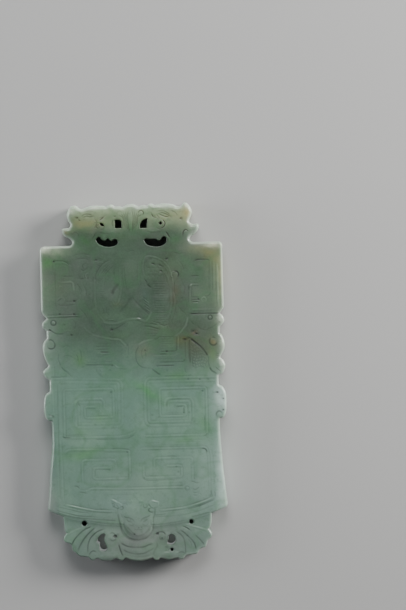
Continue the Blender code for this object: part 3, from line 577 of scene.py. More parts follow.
carve("""
pit .5 .55: 6.45,40.9
pit .4 .15: 9.85,39.05
pit .5 .18: 4.6,38.1
rib .44 .09 straight: 3.6,40.05 8,40.05 8.6,40.5
rib .36 .08: 5.2,38.45 8,38.45
pit .5 .16: 2.3,41.2
cut .3 .07: 2.2,41 2.35,40.3 2.3,39.8
cut .36 .09: 1,42 .5,41.2 .35,40 .6,38.9 1.2,38.15 2,37.8 3.3,37.7
cut .3 .06: 1.9,41.8 1.5,40.8 1.75,39.4
cut .5 .18: 3.35,37.65 4.2,36.95 5.1,36.3
cut .34 .1: 6.4,37.5 6.4,37
rib .34 .06: 8.6,37.6 9,37.2 9.2,37.6
cut .3 .07: 9.9,37.6 10,36.9 10.3,36.5
cut .42 .2: -16.95,29.1 -16.6,28.95 -16.1,28.8 -15.95,28.5
pit .55 .18: -16.1,28.65
swell .35 .3 .12: -16.6,28.7
rib .4 .12: -16.1,34.2 -16.05,29.5
cut .3 .07: -15.55,36.2 -15.6,38.8
cut .44 .17: 15.85,28 15.85,28.5 16.25,28.95 16.7,28.9 16.95,28.6
swell .32 .3 .12: 16.4,28.15
pit .55 .3: 16.25,32.65
pit .45 .35: 17.35,31.4
pit .45 .35: 17.3,29.2
""")

# Middle panels: interlocked squared scrolls, one band of each a double thread
pair(turned(*points_in("-16.3,35.8 -15,35.75 -11,35.6 -7,35.45 -3.4,35.32 -2.85,34.9 -2.85,27.2 -3.3,26.75"),
            *squared((-4.0, 26.75), -11.4, 31.6, -6.4, 30.0)), .48)
carve("""
rib .5 .08: -6,35.7 -2.3,35.6
cut .36 .04: -4.6,35.28 -3,35.25
rib .44 .06: -15.8,36.1 -12.4,36.1
cut .34 .12: -16.4,36.42 -13,36.4
""")
thread(end_to_end(drawn((-.1, 25.7), (-.4, 25.25), (-.9, 24.95), (-1.6, 24.7), (-3.0, 24.42)),
                  turned(*squared((-4.0, 24.42), -13.95, 33.85, -4.25, 28.25, -9.9, 30.42, -7.6))), .6)
carve("""
cut .36 .1: -.3,24.8 -.9,24.4 -1.8,24.1 -3,24.02 -8,24.03
cut .34 .07: -13.6,24.95 -9.5,25
cut .4 .15: -14.4,24.8 -14,24.55 -13.4,24.5 -12.7,24.4
pit .6 .18: -4.65,33.2
cut .3 .05: -12.4,33.5 -4.8,33.45
cut .34 .06: -4.55,33.3 -4.55,31.9
rib .7 .24: -12,31 -11.6,31.55 -11.2,31.85
cut .34 .12: -11.1,31.3 -10.95,30.8 -10.75,30.75
swell .3 .2 .04: -7.5,31.92
swell .28 .22 .06: -6.65,31.95
swell .3 .25 .045: -4.9,28.4
cut .34 .08: -9.4,30.1 -7.7,30.1
cut .34 .09: -7.4,28.65 -5.3,28.62
pit .55 .12: -7.9,26.85
pit .6 .03: -7.4,29.5
rib .4 .06: -7,29.9 -6.85,29.5 -6.6,29.2
""")
for k in range(3):
    cut([(-12.35 + .55 * k, 28.8), (-12.35 + .55 * k, 27.2)], .3, .04)
carve("""
cut .3 .07: -15.15,35 -15.15,12.5
rib .4 .05: -14.75,35 -14.7,24.5
""")
pair(turned(*squared((15.9, 35.37), 2.28, 26.8, 11.0, 31.43, 6.08, 29.9), radius=.9), .72)
carve("""
rib .5 .08: 3.2,35.8 2.5,35.6 2.1,35.1 2,34.3
cut .34 .07: 3.2,35.33 10.9,35.4
""")
for x in (10.5, 12.8, 14.4):
    pit(x, 35.4 if x < 12 else 35.3, .55, .16)
thread(end_to_end([(1.6, 24.4)],
                  turned(*squared((2.0, 24.4), 13.95, 33.67, 4.8, 28.2, 9.9, 30.42, 7.8))), .75)
carve("""
cut .3 .11 straight: 9.6,34 11,33.95 12.5,33.97 13.5,33.8
cut .32 .09: 4.9,33.35 9,33.35 12.2,33.35 13.2,33
pit .55 .17: 13.25,33
cut .36 .11: 13.55,28.2 13.55,25.1
rib .5 .08: 12.9,24.6 13.5,24.55 13.95,24.85
cut .36 .12: 13.2,24.15 13.7,24.35 14.1,24.8
rib .5 .09: 5.75,30.2 5.85,31 6.2,31.55 6.8,31.78
cut .34 .09: 6.2,30 6.35,30.9 7,31.45 10.9,31.5
cut .36 .16: 8,30.05 9.4,30.1
cut .38 .16: 9.5,29.9 9.5,28.6
pit .5 .2: 9.5,28.85
pit .5 .12: 10.5,28.85
pit .6 .12: 4.6,28.15
pit .6 .1: 3.25,28.5
pit .5 .14: 10.85,26.75
cut .34 .05: 3,26.1 7.6,26.1
cut .3 .04: 5.5,28.8 9.2,28.85
rib .4 .05: 5.6,28.2 9.4,28.2
cut .5 .05: 0,33.75 1.7,33.7
""")

# Lower panels: a second tier of scrolls, closed below by one long thread, and the frame round all
thread(end_to_end(drawn((-14.0, 21.1), (-13.9, 21.6), (-13.4, 22.0), (-12.0, 22.1)),
                  turned((-11, 22.1), (-9, 22.05), (-6, 21.88), (-1.4, 21.75), (-1.4, 16.25), (-8.55, 16.25),
                         (-8.55, 18.45), (-5.4, 18.45))), .62)
carve("""
cut .38 .05: -13.95,21.2 -13.6,21.55 -13,21.72 -8.5,21.7
cut .3 .09: -6.4,21.5 -2,21.42
cut .32 .17 straight: -4.8,22.1 -3.4,22.15 -1.3,21.9
pit .55 .2: -1.8,21.4
cut .36 .09: -1.7,17.4 -1.7,15.9
cut .3 .09: -8.15,16.65 -7.3,16.6
""")
cut(turned((-8.2, 16.7), (-8.2, 18.15), (-5.4, 18.1), radius=.3), .34, .13)
carve("""
pit .5 .14: -5.4,18.05
swell .2 .3 .045: -5.08,18.35
cut .34 .06: -4.9,18.8 -4.7,18.2 -4.8,17.9
rib .36 .07 ring: -4.9,18.3,.8,-50,130
rib .5 .05: -8.2,16.25 -1.9,16.25
swell .3 .2 .03: -8.05,16.3
cut .4 .08: -8.9,18.6 -8.6,18.1 -8.45,17.9
thread .5 turned: -4.1,18.2 -4.1,19.6 -4.6,20 -10.2,20 -10.7,19.6 -10.7,15.4
swell .35 .25 .04: -10.1,19.93
swell .42 .26 .04: -4.4,19.85
pit .5 .05: -10.1,19.1
cut .3 .05: -10,20.35 -4.9,20.35
pit .5 .09: -11.55,15.75
cut .34 .14: -12.4,15 -11.7,14.9 -11.35,14.5
cut .34 .04: -11.2,14.35 -10.6,14.25 -9.85,14.35 -9.4,14.6
cut .32 .1: -11.4,13.8 -10.6,13.7 -9.9,13.5
rib .4 .08: -10.2,13.95 -9.7,14 -9.4,14.15
thread .95: -9.5,14.2 -8.8,14.4 -6.6,14.35 -3,14.25 0,14.22 4,14.25 9.1,14.22
cut .26 .04: -6.6,13.1 -1,13.1
pit .45 .08: 9.35,14.05
cut .3 .08 0 ring: 9.75,14.02,.42,0,360
swell .25 .22 .05: 9.75,14.05
cut .34 .12: 10.5,15.4 11.1,15.25 11.7,15 12.2,15.05
rib .36 .09: 11.6,15.2 12.1,15.35 12.3,15.5
cut .36 .15: 10.8,13.9 11.3,13.72 11.8,13.95 12.15,14.3
rib .34 .08: 11.6,13.65 12,13.8 12.3,14.1
cut .3 .11: 10.8,13.2 11.4,13.1 11.9,13.3
cut .28 .09: 10.9,12.75 11.3,12.6 11.7,12.7
cut .26 .08: 12.1,13 12.4,12.8
pit .5 .1: 11.2,15.95
""")
thread(end_to_end(drawn((.9, 21.9), (1.6, 22.0), (3.0, 21.97)), [(12.4, 21.97)],
                  drawn((12.8, 21.97), (13.5, 21.85), (13.85, 21.4), (13.95, 20.6))), .8)
carve("""
cut .26 .07: 2,22.2 12.3,22.18
cut .4 .22: 12.7,21.75 13.3,21.72 13.7,21.4 13.8,20.9
cut .3 .05: 12.4,22.5 13.3,22.45
thread .75 turned: 1.3,18.6 1.3,16.25 8.75,16.25 8.75,18.5 5.9,18.5
cut .36 .1: 1.4,16.5 1.35,16.1 1.7,15.9 2.7,15.75 7.5,15.85
pit .5 .1: 1.35,16.2
cut .3 .07: 2.2,16.85 3,16.6 4.4,16.6
swell .35 .25 .04: 7.95,16.5
pit .5 .15: 7.75,18.25
pit .5 .12: 8.12,17.3
cut .28 .08: 6,18.2 9,18.2
cut .26 .06: 6,18.8 9.1,18.75
thread .6 turned: 3.4,18.4 3.4,20.03 10.9,20.03 10.9,15.6
cut .3 .09: 6,20.4 7.6,20.4
rib .4 .05: 6,20.05 9.8,20.05
pit .4 .04: 4.35,19.4
swell .35 .25 .03: 4.3,19.9
""")
for y, x0, x1 in ((23.05, 1.5, 4.6), (23.1, 7.5, 12.8), (22.6, 2, 12), (15.15, 4.4, 9.0), (23.5, 9.0, 13.5)):
    cut([(x0, y), (x1, y)], .26, .04)
carve("""
thread .4: 14.1,20.9 14.25,12.9
thread .35: 14.2,21.9 14.6,20 14.62,14 14.8,12.3
cut .3 .03: 15.05,20.8 15.2,12.8
cut .42 .18: 14.4,13.6 14.45,12.8 14.3,12.4
cut .36 .16: 15.1,13.4 15.2,12.7 15.1,12.2
thread 1.6 1.6: 14.95,12.25 14.2,11.85 12.9,11.3 11,10.7 9.3,10.28 7.5,10.05 4.3,9.8
cut .36 .17: 14.85,11.6 13.9,11.25 12,10.5 9.5,9.9
cut .3 .06: 14.9,10.6 13,9.9 11,9.3 8,8.75 3.2,8.6
cut .26 .02: 4.2,9.3 6,9.3 8.6,9.55 11.6,10.1
cut .34 .12: 14,9.25 12.8,8.95 11.6,8.65 10.4,8.4
cut .32 .08: 3.2,8.98 4.4,8.95 5.6,9.15
pit .5 .18: 11.95,10.5
cut .3 .14: 14.6,11.7 14.8,11.5
""")
cut(RIGHT_LIP, .36, .05, 0)
cut(LEFT_LIP, .36, .03, 0)
carve("""
thread .5: -14.85,24 -14.68,18 -14.6,11.8
thread 1.5 1.8: -14.6,11.6 -14,11.35 -13,11.08 -11,10.58 -9,10.15 -8,10 -4.6,9.85
rib .4 .3 1.8: -13.9,11.4 -13,11.12 -11,10.62 -9,10.2 -8,10.05
cut .3 .1: -15.5,11 -14.6,10.75 -13,10.35 -11.4,9.9 -9.6,9.75
cut .3 .12: -15.9,10.35 -14.6,9.95 -13,9.5 -11.4,9.1 -8.4,8.9
cut .3 .13: -15.8,9.95 -14.5,9.45 -12.9,9 -11.4,8.7 -8,8.35 -4.4,8.05
rib .3 .05: -15.4,10.2 -13.4,9.7 -11.2,9.4
cut .4 .1: -15.5,13.1 -15,13
""")

# Bat at the foot: fanned wings, curled wing roots, a round belly in folds and a face with ears
carve("""
cut .4 .26: -13.15,3.5 -12.5,4.6 -11.8,5.4 -11,6.1 -10.2,6.6 -9.3,6.95
cut .46 .17: -11.95,2.3 -11.5,3.3 -10.9,4.3 -10.2,5.2 -9.4,6 -8.5,6.7
cut .38 .18: -10.05,2 -9.95,3.4 -9.5,4.6 -8.9,5.3 -8.3,5.8 -7.5,6.2 -6.8,6.35
cut .38 .13: 12.8,2.9 12,3.9 11.1,4.8
cut .34 .24: 10.1,5.8 9.5,6.25 8.7,6.6
cut .4 .14: 11.2,2 10.9,3.1 10.3,4 9.7,4.6 8.9,5.35 8.2,5.9
cut .38 .14: 9.05,1.2 9.1,2.3 9,3.4 8.7,4.4 8.2,5 7.4,5.6
cut .28 .07: 10.35,2.6 10.1,3.5 9.6,4.2
cut .4 .22: 9.2,5 9.6,4.7 9.9,4.4
cut .42 .12: -5.7,5.4 -5.2,5.65 -4.7,5.4 -4.4,4.9 -4.6,4.3 -5.2,4.1 -5.6,4.4
cut .42 .2: 3.3,5.15 3.7,5.45 4.2,5.6 4.9,5.5 5.3,5
cut .34 .08: 5.2,4.9 5.1,4.3 4.6,4.05 4.1,4.3 4.2,4.8
cut .34 .18: -9.85,1.4 -9.4,2 -8.9,2.2 -8.4,2
cut .42 .17: -3.95,3.4 -3.75,2.6 -3.45,1.7 -3.15,1.05
cut .5 .1: 3.45,3.6 3.6,2.9 3.2,2.2 2.9,1.6 2.8,1.1
cut .46 .17: -3.5,3.6 -2.4,3 -1.2,2.75 0,2.7 1,2.75 2,3.15 2.7,3.3
cut .42 .11: -3.1,2.3 -2.2,1.8 -1,1.45 0,1.4 1,1.5 2,1.95 3,2.5
cut .34 .2: 7.6,1.4 8.4,1.55 9,1.3
cut .5 .13: -3.95,9.4 -3.75,8.2 -3.5,7.2 -3.2,5.8 -2.4,4.8 -1.2,4.15 0,4.05 1.3,4.4 2.4,5.3 2.85,6.3 3,7.4
cut .44 .08: -2.95,7.8 -2.75,6.9 -2.3,6.1 -1.7,5.55 -.8,5.15 .2,5 1.2,5.4 2,6.1 2.35,7
cut .42 .13: -2.3,6.85 -1.8,6.3 -1.3,5.75 -.75,5.25
cut .34 .13: -2.9,8.9 -2.4,8.6 -1.7,8.5 -1.1,8.2 -.75,7.7
cut .34 .13: -2.3,8.2 -1.8,7.8 -1.2,7.7
cut .36 .14: .45,7.7 .75,8.2 1.3,8.5 1.9,8.65 2.4,9
cut .34 .12: .9,7.7 1.4,7.85 1.9,8.25
cut .26 .08: -.8,6.35 -.4,6.1 0,6.3 .4,6.1 .9,6.4
cut .26 .1: -1.9,7.3 -1.3,6.95 -.7,7.25
cut .26 .08: .8,7.25 1.4,6.95 1.9,7.2
cut .3 .12: 1.1,11.1 1.1,10.6 1.5,10.4 1.85,10.7 1.7,11.1
cut .3 .1: 2,11.2 2.1,10.9 2.5,10.8
cut .42 .16: 2.6,10.35 2.2,10.2 2.1,9.8 2.5,9.55 3,9.5
cut .3 .11: -5.1,11.5 -4.7,11.4 -4.6,10.9 -5,10.6
cut .3 .08: -4.2,11.2 -3.9,10.7 -3.95,10.2 -4.1,9.6
cut .34 .12: -3.5,10.2 -3,10.2 -2.9,10.7 -3.4,10.75
cut .26 .06: -3,11.3 -2.3,11.35 -2,11
cut .3 .1: -3.3,9.4 -3.2,8.9 -2.9,8.5
cut .4 .1: 3.35,10.3 3.25,9.2 2.95,8 3,7.3
rib .5 .13: -13.9,5.5 -13,6.1 -12,6.5 -11,6.8 -9.6,7
rib .5 .17: 13.3,5.8 12,6.2 11,6.5 10,6.8 9.2,6.95
rib .5 .1: -3.1,7.8 -3.05,6.8 -2.7,5.8 -1.9,4.95 -.8,4.55 .3,4.5 1.4,4.9
rib .5 .2: 1.4,4.9 2.3,5.8 2.65,6.8 2.7,8.2
rib .5 .1: -3,1 -1.4,.62 0,.5 1.4,.6 2.7,.95
rib .5 .3: -5.1,12.15 -4.6,11.95 -4.1,11.7
rib .5 .14: 2.6,11.85 3.2,11.65 3.8,11.4
rib .5 .08: -3.6,11.8 -2.2,11.8 -.8,11.8
rib .5 .2: 5,1.5 5.9,1.55
rib .5 .2: 7.2,1.5 7.9,1.45
""")
for side in (-1, 1):
    swell(4.95 * side, 4.7, .95, .95, .14)
    swell(11.6 * side, 4.4, 1.6, 1.6, .1)
    swell(8.9 * side, 5.9, 1.2, .8, .1)
    swell(5.9 * side, 1.1, 2.2, .6, .15)
carve("""
pit .8 1.1: -4.55,4.95
pit .65 .8: 3.7,5.3
pit .5 .15: 4.6,4.35
pit .5 .14: 5.3,2.6
pit .5 .3: -.8,5.3
pit .4 .14: .05,6.55
pit .4 .14: .6,6.6
pit .4 .1: -1.5,8.1
swell 3 2.6 .26: 0,3.4
swell 2.4 2.6 .12: 0,7.6
swell .35 .25 .06: .65,11.7
""")


# The stone between face and back. Every height is worked out at once for all points of the
# face: level of each part, rounding of its edges, planed margins, swells and carved lines.

# in millimetres: levels above the back, and how wide each edge is rounded
FACE, FOOT_GROUND, WINGS, HEAD, EAR, OUTSIDE = 5.0, 4.7, 4.75, 5.05, 5.06, -9.0
BODY_ROUND, CREST_ROUND, GROUND_ROUND = 0.5, 0.65, 0.35
WING_ROUND, OPENING_ROUND, BACK_ROUND = 0.3, 0.14, 0.3
# the foot rises towards the lip, the head falls towards its edge, and the side margins are planed
# down from a line whose distance from the axis is given at two heights
LIP_RISE, LIP_REACH, HEAD_FALL = 0.22, 0.6, 0.28
MARGIN_LINE, MARGIN_FALL = ((9, 27.4), (15.35, 15.9)), 0.85
# the share of its depth that a stroke has at its very ends
FADE_START = 0.25
HEAD_LINE = outline("""
    0,4.1 1.7,4.6 2.9,6.2 3.4,9 3,11 1.4,11.6 0,11.3 -1.4,11.75 -3.2,11.2 -3.6,9 -3.1,6.3
    -1.7,4.6 0,4.1""")[:-1]
EARS = [outline(ear)[:-1] for ear in (
    "-5.2,12.15 -3.6,11.75 -2.9,11 -3.7,10.3 -4.7,10.6 -5.15,11.4 -5.2,12.15",
    "4.25,11.7 2.8,11.95 2,11.2 2.8,10.2 3.9,10.4 4.3,11 4.25,11.7")]


def to_line(points, line, reach, closed=False):
    """Each point's distance to a line, up to a reach, and how far along the line its nearest point is."""
    path = np.vstack([line, line[:1]]) if closed else line
    gap = np.full(len(points), float(reach))
    along = np.zeros(len(points))
    walked = 0.0
    for first in range(0, len(path) - 1, 16):
        run = path[first:first + 17]
        a, edge = run[:-1], np.diff(run, axis=0)
        length = np.hypot(*edge.T)
        start = walked + np.concatenate([[0], np.cumsum(length)[:-1]])
        walked += length.sum()
        near = np.flatnonzero(((points > run.min(0) - reach) & (points < run.max(0) + reach)).all(1))
        if len(near) == 0:
            continue
        offset = points[near][:, None] - a
        share = np.clip((offset * edge).sum(2) / np.maximum(length ** 2, 1e-12), 0, 1)
        away = np.hypot(*np.moveaxis(offset - share[..., None] * edge, 2, 0))
        best = away.argmin(1)
        row = np.arange(len(near))
        closer = away[row, best] < gap[near]
        gap[near[closer]] = away[row, best][closer]
        along[near[closer]] = (start[best] + share[row, best] * length[best])[closer]
    return gap, along


def within(points, loop):
    """Which points lie inside a closed line: those with an odd number of its edges to their right."""
    inside = np.zeros(len(points), bool)
    order = np.argsort(points[:, 1])
    x, y = points[order].T
    for (x0, y0), (x1, y1) in zip(loop, np.roll(loop, -1, axis=0)):
        low, high = np.searchsorted(y, (min(y0, y1), max(y0, y1)))
        if high > low:
            crossing = x0 + (y[low:high] - y0) * (x1 - x0) / (y1 - y0)
            inside[order[low:high]] ^= x[low:high] < crossing
    return inside


def depth_inside(points, loop, reach=1.3):
    """How far each point lies inside a closed line, up to a reach, and below zero outside it."""
    gap, _ = to_line(points, loop, reach, closed=True)
    return np.where(within(points, loop), gap, -gap)


def rounding(depth, radius):
    """How far a rounded edge lies below its face: r - sqrt(r2 - (r - depth)2), and a steep wall outside."""
    inner = radius - np.sqrt(np.maximum(radius ** 2 - np.maximum(radius - depth, 0) ** 2, 0))
    return np.where(depth >= 0, inner, radius + 14 * np.maximum(-depth, 0))


def blend_up(value, low, high):
    """A smooth step from 0 to 1 between two values: t2 (3 - 2t)."""
    t = np.clip((value - low) / (high - low), 0, 1)
    return t * t * (3 - 2 * t)


def into_margin(points, width, foot, top, power=1.0):
    """How far each point lies into the planed side margins: 0 at their inner line, 1 a width further out."""
    x, y = points.T
    share = np.clip((np.abs(x) - np.interp(y, *MARGIN_LINE)) / width, 0, 1) ** power
    return share * blend_up(y, *foot) * (1 - blend_up(y, *top))


def face_height(points):
    """Height of the face and how high it stands there, in millimetres, and how dark its lines are painted for
    dirt and painted shade.
    """
    x, y = points.T
    body = depth_inside(points, BODY)
    soft = BODY_ROUND + (CREST_ROUND - BODY_ROUND) * blend_up(y, 61.6, 63.2)
    height = FACE - rounding(body, soft)
    ground = FOOT_GROUND - rounding(depth_inside(points, WHOLE), GROUND_ROUND)
    ground += LIP_RISE * np.exp(-np.maximum(-body, 0) / LIP_REACH)
    height = np.maximum(height, np.where(within(points, GROUND), ground, OUTSIDE))
    height = np.maximum(height, WINGS - rounding(depth_inside(points, BAT), WING_ROUND))
    head = depth_inside(points, HEAD_LINE)
    crown = HEAD - HEAD_FALL * (1 - blend_up(head, -.2, 1.1))
    height = np.maximum(height, np.where(head > 0, crown, OUTSIDE))
    for ear in EARS:
        height = np.maximum(height, EAR - rounding(depth_inside(points, ear), WING_ROUND))
    for opening in OPENINGS.values():
        height -= rounding(np.maximum(-depth_inside(points, opening), 0), OPENING_ROUND)
    height -= MARGIN_FALL * into_margin(points, 2.3, (8, 9), (26.9, 27.7))
    for cx, cy, wide, high, rise, turn in swells:
        u = ((x - cx) * math.cos(turn) + (y - cy) * math.sin(turn)) / wide
        v = ((y - cy) * math.cos(turn) - (x - cx) * math.sin(turn)) / high
        height += rise * np.exp(-np.minimum(u * u + v * v, 30))
    raised, sunk, groove_dirt_and_shade = np.zeros(len(points)), np.zeros(len(points)), np.zeros(len(points))
    hand = 0.8 + 0.32 * np.sin(0.83 * x + 1.7 * np.sin(0.61 * y)) * np.cos(0.77 * y - 1.3 * np.sin(0.47 * x))
    for line, across, section, fade, dirt_and_shade in strokes:
        gap, along = to_line(points, line, across[-1])
        near = np.flatnonzero(gap < across[-1])
        if len(near) == 0:
            continue
        length = np.hypot(*np.diff(line, axis=0).T).sum()
        ends = np.minimum(along[near], length - along[near])
        strength = hand[near] * (np.clip(FADE_START + ends / fade, 0, 1) if fade else 1.0)
        change = np.interp(gap[near], across, section) * strength
        raised[near] = np.maximum(raised[near], change)
        sunk[near] = np.minimum(sunk[near], change)
        groove_dirt_and_shade[near] = np.minimum(groove_dirt_and_shade[near], change * dirt_and_shade)
    return height + raised + sunk, raised, groove_dirt_and_shade


def beside(line, offsets, closed=False):
    """Copies of a line at some distances to its side: each point moved along the line's own normal."""
    if closed:
        run = np.roll(line, -1, axis=0) - np.roll(line, 1, axis=0)
    else:
        run = np.gradient(line, axis=0)
    normal = np.column_stack([-run[:, 1], run[:, 0]]) / np.maximum(np.hypot(*run.T), 1e-9)[:, None]
    return np.vstack([line + normal * offset for offset in offsets])


loops = [evenly(WHOLE, 0.17, True)] + [evenly(line, 0.13, True) for line in OPENINGS.values()]
edge_points = np.vstack(loops)
rows = []
for line, across, _, _, _ in strokes:
    rows.append(beside(line, np.concatenate([-across[:0:-1], across])))
for line in (LEFT_LIP, RIGHT_LIP, WING_TOP, HEAD_LINE, *EARS):
    rows.append(beside(evenly(line, .2), (-.5, -.35, -.22, -.1, -.02, .02, .1, .22, .35, .5)))
for k, loop in enumerate(loops):
    rows.append(beside(loop, (.04, .11, .2, .32, .46, .65) if k == 0 else (-.04, -.11, -.22), True))
    rows.append(beside(loop, (-.04, -.11, -.2, -.32, -.46, -.65) if k == 0 else (.04, .11, .22), True))
gx, gy = np.meshgrid(np.arange(-18, 18, .5), np.arange(0, 70, .44))
fill = np.column_stack([(gx + (np.arange(len(gx)) % 2 * .25)[:, None]).ravel(), gy.ravel()])


def thinned(points, spacing):
    """One point for each square of a fine net, the first that falls in it."""
    _, first = np.unique(np.round(points / spacing).astype(int), axis=0, return_index=True)
    return points[np.sort(first)]


def open_stone(points, clearance):
    """The points that lie in the stone, no nearer to its edges than the clearance."""
    keep = within(points, WHOLE)
    for k, loop in enumerate(loops):
        if k:
            keep &= ~within(points, loop)
        gap, _ = to_line(points, loop, clearance + .01, closed=True)
        keep &= gap > clearance
    return points[keep]


carved = open_stone(thinned(np.vstack(rows), 0.07), 0.03)
net = set(map(tuple, np.round(carved / .45).astype(int).tolist()))
fill = open_stone(fill[[tuple(p) not in net for p in np.round(fill / .45).astype(int).tolist()]], .15)
face_points = np.vstack([edge_points, carved, fill])


def triangles(points):
    """The points joined into triangles, none of them across an opening or outside the edge."""
    edges = []
    start = 0
    for loop in loops:
        count = len(loop)
        edges += [(start + k, start + (k + 1) % count) for k in range(count)]
        start += count
    made = delaunay_2d_cdt([Vector(p) for p in points.tolist()], edges, [], 0, 1e-6, True)
    corners = np.array([v[:] for v in made[0]])
    faces = np.array(made[2])
    source = np.full(len(points), -1)
    for new, old in enumerate(made[3]):
        for index in old:
            source[index] = new
    centre = corners[faces].mean(1)
    keep = within(centre, loops[0])
    for loop in loops[1:]:
        keep &= ~within(centre, loop)
    return corners, faces[keep], source


def back_height(points):
    """Height of the back: level at 0, and rounded up at the edge and at the openings."""
    depth = np.full(len(points), 1.3)
    for loop in loops:
        depth = np.minimum(depth, to_line(points, loop, 1.3, closed=True)[0])
    return rounding(depth, BACK_ROUND)


face_xy, face_triangles, face_edge = triangles(face_points)
face_z, raised, sunk = face_height(face_xy)
# painted shade: the colour darkens towards the rim of each opening
OPENING_SHADE, OPENING_SHADE_REACH = .09, .32
for loop in loops[1:]:
    sunk = np.minimum(sunk, -OPENING_SHADE * (1 - to_line(face_xy, loop, OPENING_SHADE_REACH, closed=True)[0] / OPENING_SHADE_REACH))
back_rows = open_stone(thinned(np.vstack(
    [beside(loop, (-.3, -.17, -.06, .06, .17, .3), True) for loop in loops]), .05), .04)
gx, gy = np.meshgrid(np.arange(-17.5, 18, 1.0), np.arange(.5, 70, 1.0))
back_fill = open_stone(np.column_stack([gx.ravel(), gy.ravel()]), .4)
back_xy, back_triangles, back_edge = triangles(np.vstack([edge_points, back_rows, back_fill]))
back_z = back_height(back_xy)

# walls: for each loop of the edge, rows of quads from the face's rim down to the back's rim. The walls of
# the wings' windows get a painted glow, more in the lower rows.
WALL_ROWS = ((0.25, 0.3), (0.5, 1.0), (0.75, 1.0))
wall_points, wall_faces, wall_glow = [], [], []
walls_from = base = len(face_xy) + len(back_xy)
start = 0
for name, loop in zip(("edge", *OPENINGS), loops):
    count = len(loop)
    x, y = loop.T
    leftward = (x * np.roll(y, -1) - y * np.roll(x, -1)).sum() > 0
    rim = face_edge[start:start + count]
    under = back_edge[start:start + count]
    top_z, low_z = face_z[rim], back_z[under]
    belts = [rim]
    for share, light in WALL_ROWS:
        wall_points.append(np.column_stack([loop, top_z + (low_z - top_z) * share]))
        wall_glow.append(np.full(count, light * ("window" in name)))
        belts.append(base + np.arange(count))
        base += count
    belts.append(under + len(face_xy))
    for upper, lower in zip(belts, belts[1:]):
        quads = np.column_stack([upper, np.roll(upper, -1), np.roll(lower, -1), lower])
        wall_faces.append(quads[:, ::-1] if leftward == (name == "edge") else quads)
    start += count

stone = np.vstack([np.column_stack([face_xy, face_z]), np.column_stack([back_xy, back_z]), *wall_points])
stone[:, 1] -= 35.0
faces = (face_triangles.tolist() + (back_triangles[:, ::-1] + len(face_xy)).tolist()
         + np.vstack(wall_faces).tolist())
mesh = bpy.data.meshes.new("jade_plaque")
mesh.from_pydata((stone / 1000).tolist(), [], faces)

# painted rim highlight: the face is painted paler near its edge and over the right margin, less low on the
# left
RIM_REACH = 0.8
x, y = face_xy.T
pale = 1 - to_line(face_xy, loops[0], RIM_REACH, closed=True)[0] / RIM_REACH
pale *= np.where((x < 0) & (y < 28), .5, 1)
pale = np.maximum(pale, into_margin(face_xy, 2.2, (8.5, 9.5), (26.6, 27.6), 1.2) * (x > 0))
for name, on_face, on_walls in (("cut", -sunk / .16, 0), ("crest", raised / .05, 0), ("rim", pale, .3),
                                ("glow", 0, np.concatenate(wall_glow))):
    values = np.zeros(len(stone), np.float32)
    values[:len(face_xy)] = np.clip(on_face, 0, 1)
    values[walls_from:] = on_walls
    mesh.attributes.new(name, "FLOAT", "POINT").data.foreach_set("value", values)
mesh.update()
mesh.shade_smooth()
plaque = bpy.data.objects.new("jade_plaque", mesh)
bpy.context.scene.collection.objects.link(plaque)


# The jade itself: pale celadon stone, a little see-through, cloudy, with greener veins and
# brown skin left near the birds, wax-polished on the face and duller in the cuts. Its colour also
# carries painted light: darker cuts (dirt and painted shade), painted highlights and glowing window walls.

class Flow:
    """A value that changes over the stone, on which sums can be written as plain expressions."""
    tree = None

    def __init__(self, socket):
        self.socket = socket

    @classmethod
    def node(cls, kind, settings=None, inputs=None, output=0):
        """One node: its settings first, then each input, as a value or as another Flow."""
        made = cls.tree.nodes.new(kind)
        for name, value in (settings or {}).items():
            setattr(made, name, value)
        for key, value in (inputs or {}).items():
            if isinstance(value, Flow):
                cls.tree.links.new(value.socket, made.inputs[key])
            else:
                made.inputs[key].default_value = value
        return cls(made.outputs[output])

    def sum(self, operation, other=0.0, clamp=False):
        """This value and another through one Math node."""
        return Flow.node("ShaderNodeMath", {"operation": operation, "use_clamp": clamp}, {0: self, 1: other})

    def __add__(self, other):
        return self.sum("ADD", other)

    def __sub__(self, other):
        return self.sum("SUBTRACT", other)

    def __mul__(self, other):
        return self.sum("MULTIPLY", other)

    def __truediv__(self, other):
        return self.sum("DIVIDE", other)

    def __rsub__(self, other):
        return Flow.node("ShaderNodeMath", {"operation": "SUBTRACT"}, {0: other, 1: self})

    def __rtruediv__(self, other):
        return Flow.node("ShaderNodeMath", {"operation": "DIVIDE"}, {0: other, 1: self})

    __radd__ = __add__
    __rmul__ = __mul__


def attribute(name):
    """A value stored with the points of the mesh."""
    return Flow.node("ShaderNodeAttribute", {"attribute_name": name}, None, 2)


def mixed(share, below, above):
    """One colour over another by a share."""
    return Flow.node("ShaderNodeMix", {"data_type": "RGBA"}, {0: share, 6: below, 7: above}, 2)


def srgb(red, green, blue):
    """A colour, 0 to 255 in each of its three parts, as linear light."""
    light = [((c / 255 + .055) / 1.055) ** 2.4 if c > 10 else c / 255 / 12.92 for c in (red, green, blue)]
    return (*light, 1.0)


jade = bpy.data.materials.new("jade")
jade.use_nodes = True
Flow.tree = jade.node_tree
shader = jade.node_tree.nodes["Principled BSDF"]
place = Flow.node("ShaderNodeTexCoord", output=3)
split = jade.node_tree.nodes.new("ShaderNodeSeparateXYZ")
jade.node_tree.links.new(place.socket, split.inputs[0])


def noise(size, detail, rough, shift):
    """Cloudy noise whose lumps are about a size across in millimetres, taken from a place shifted aside."""
    where = Flow.node("ShaderNodeVectorMath", {"operation": "ADD"}, {0: place, 1: (shift, shift * .7, 0)})
    return Flow.node("ShaderNodeTexNoise", None, {"Vector": where, "Scale": 1000 / size, "Detail": detail,
                                                  "Roughness": rough})


drift_x = (noise(4.0, 3, .6, .31) - 0.5) * 2.4
drift_y = (noise(4.0, 3, .6, .57) - 0.5) * 2.4
across = Flow(split.outputs[0]) * 1000 + drift_x
upward = Flow(split.outputs[1]) * 1000 + 35 + drift_y


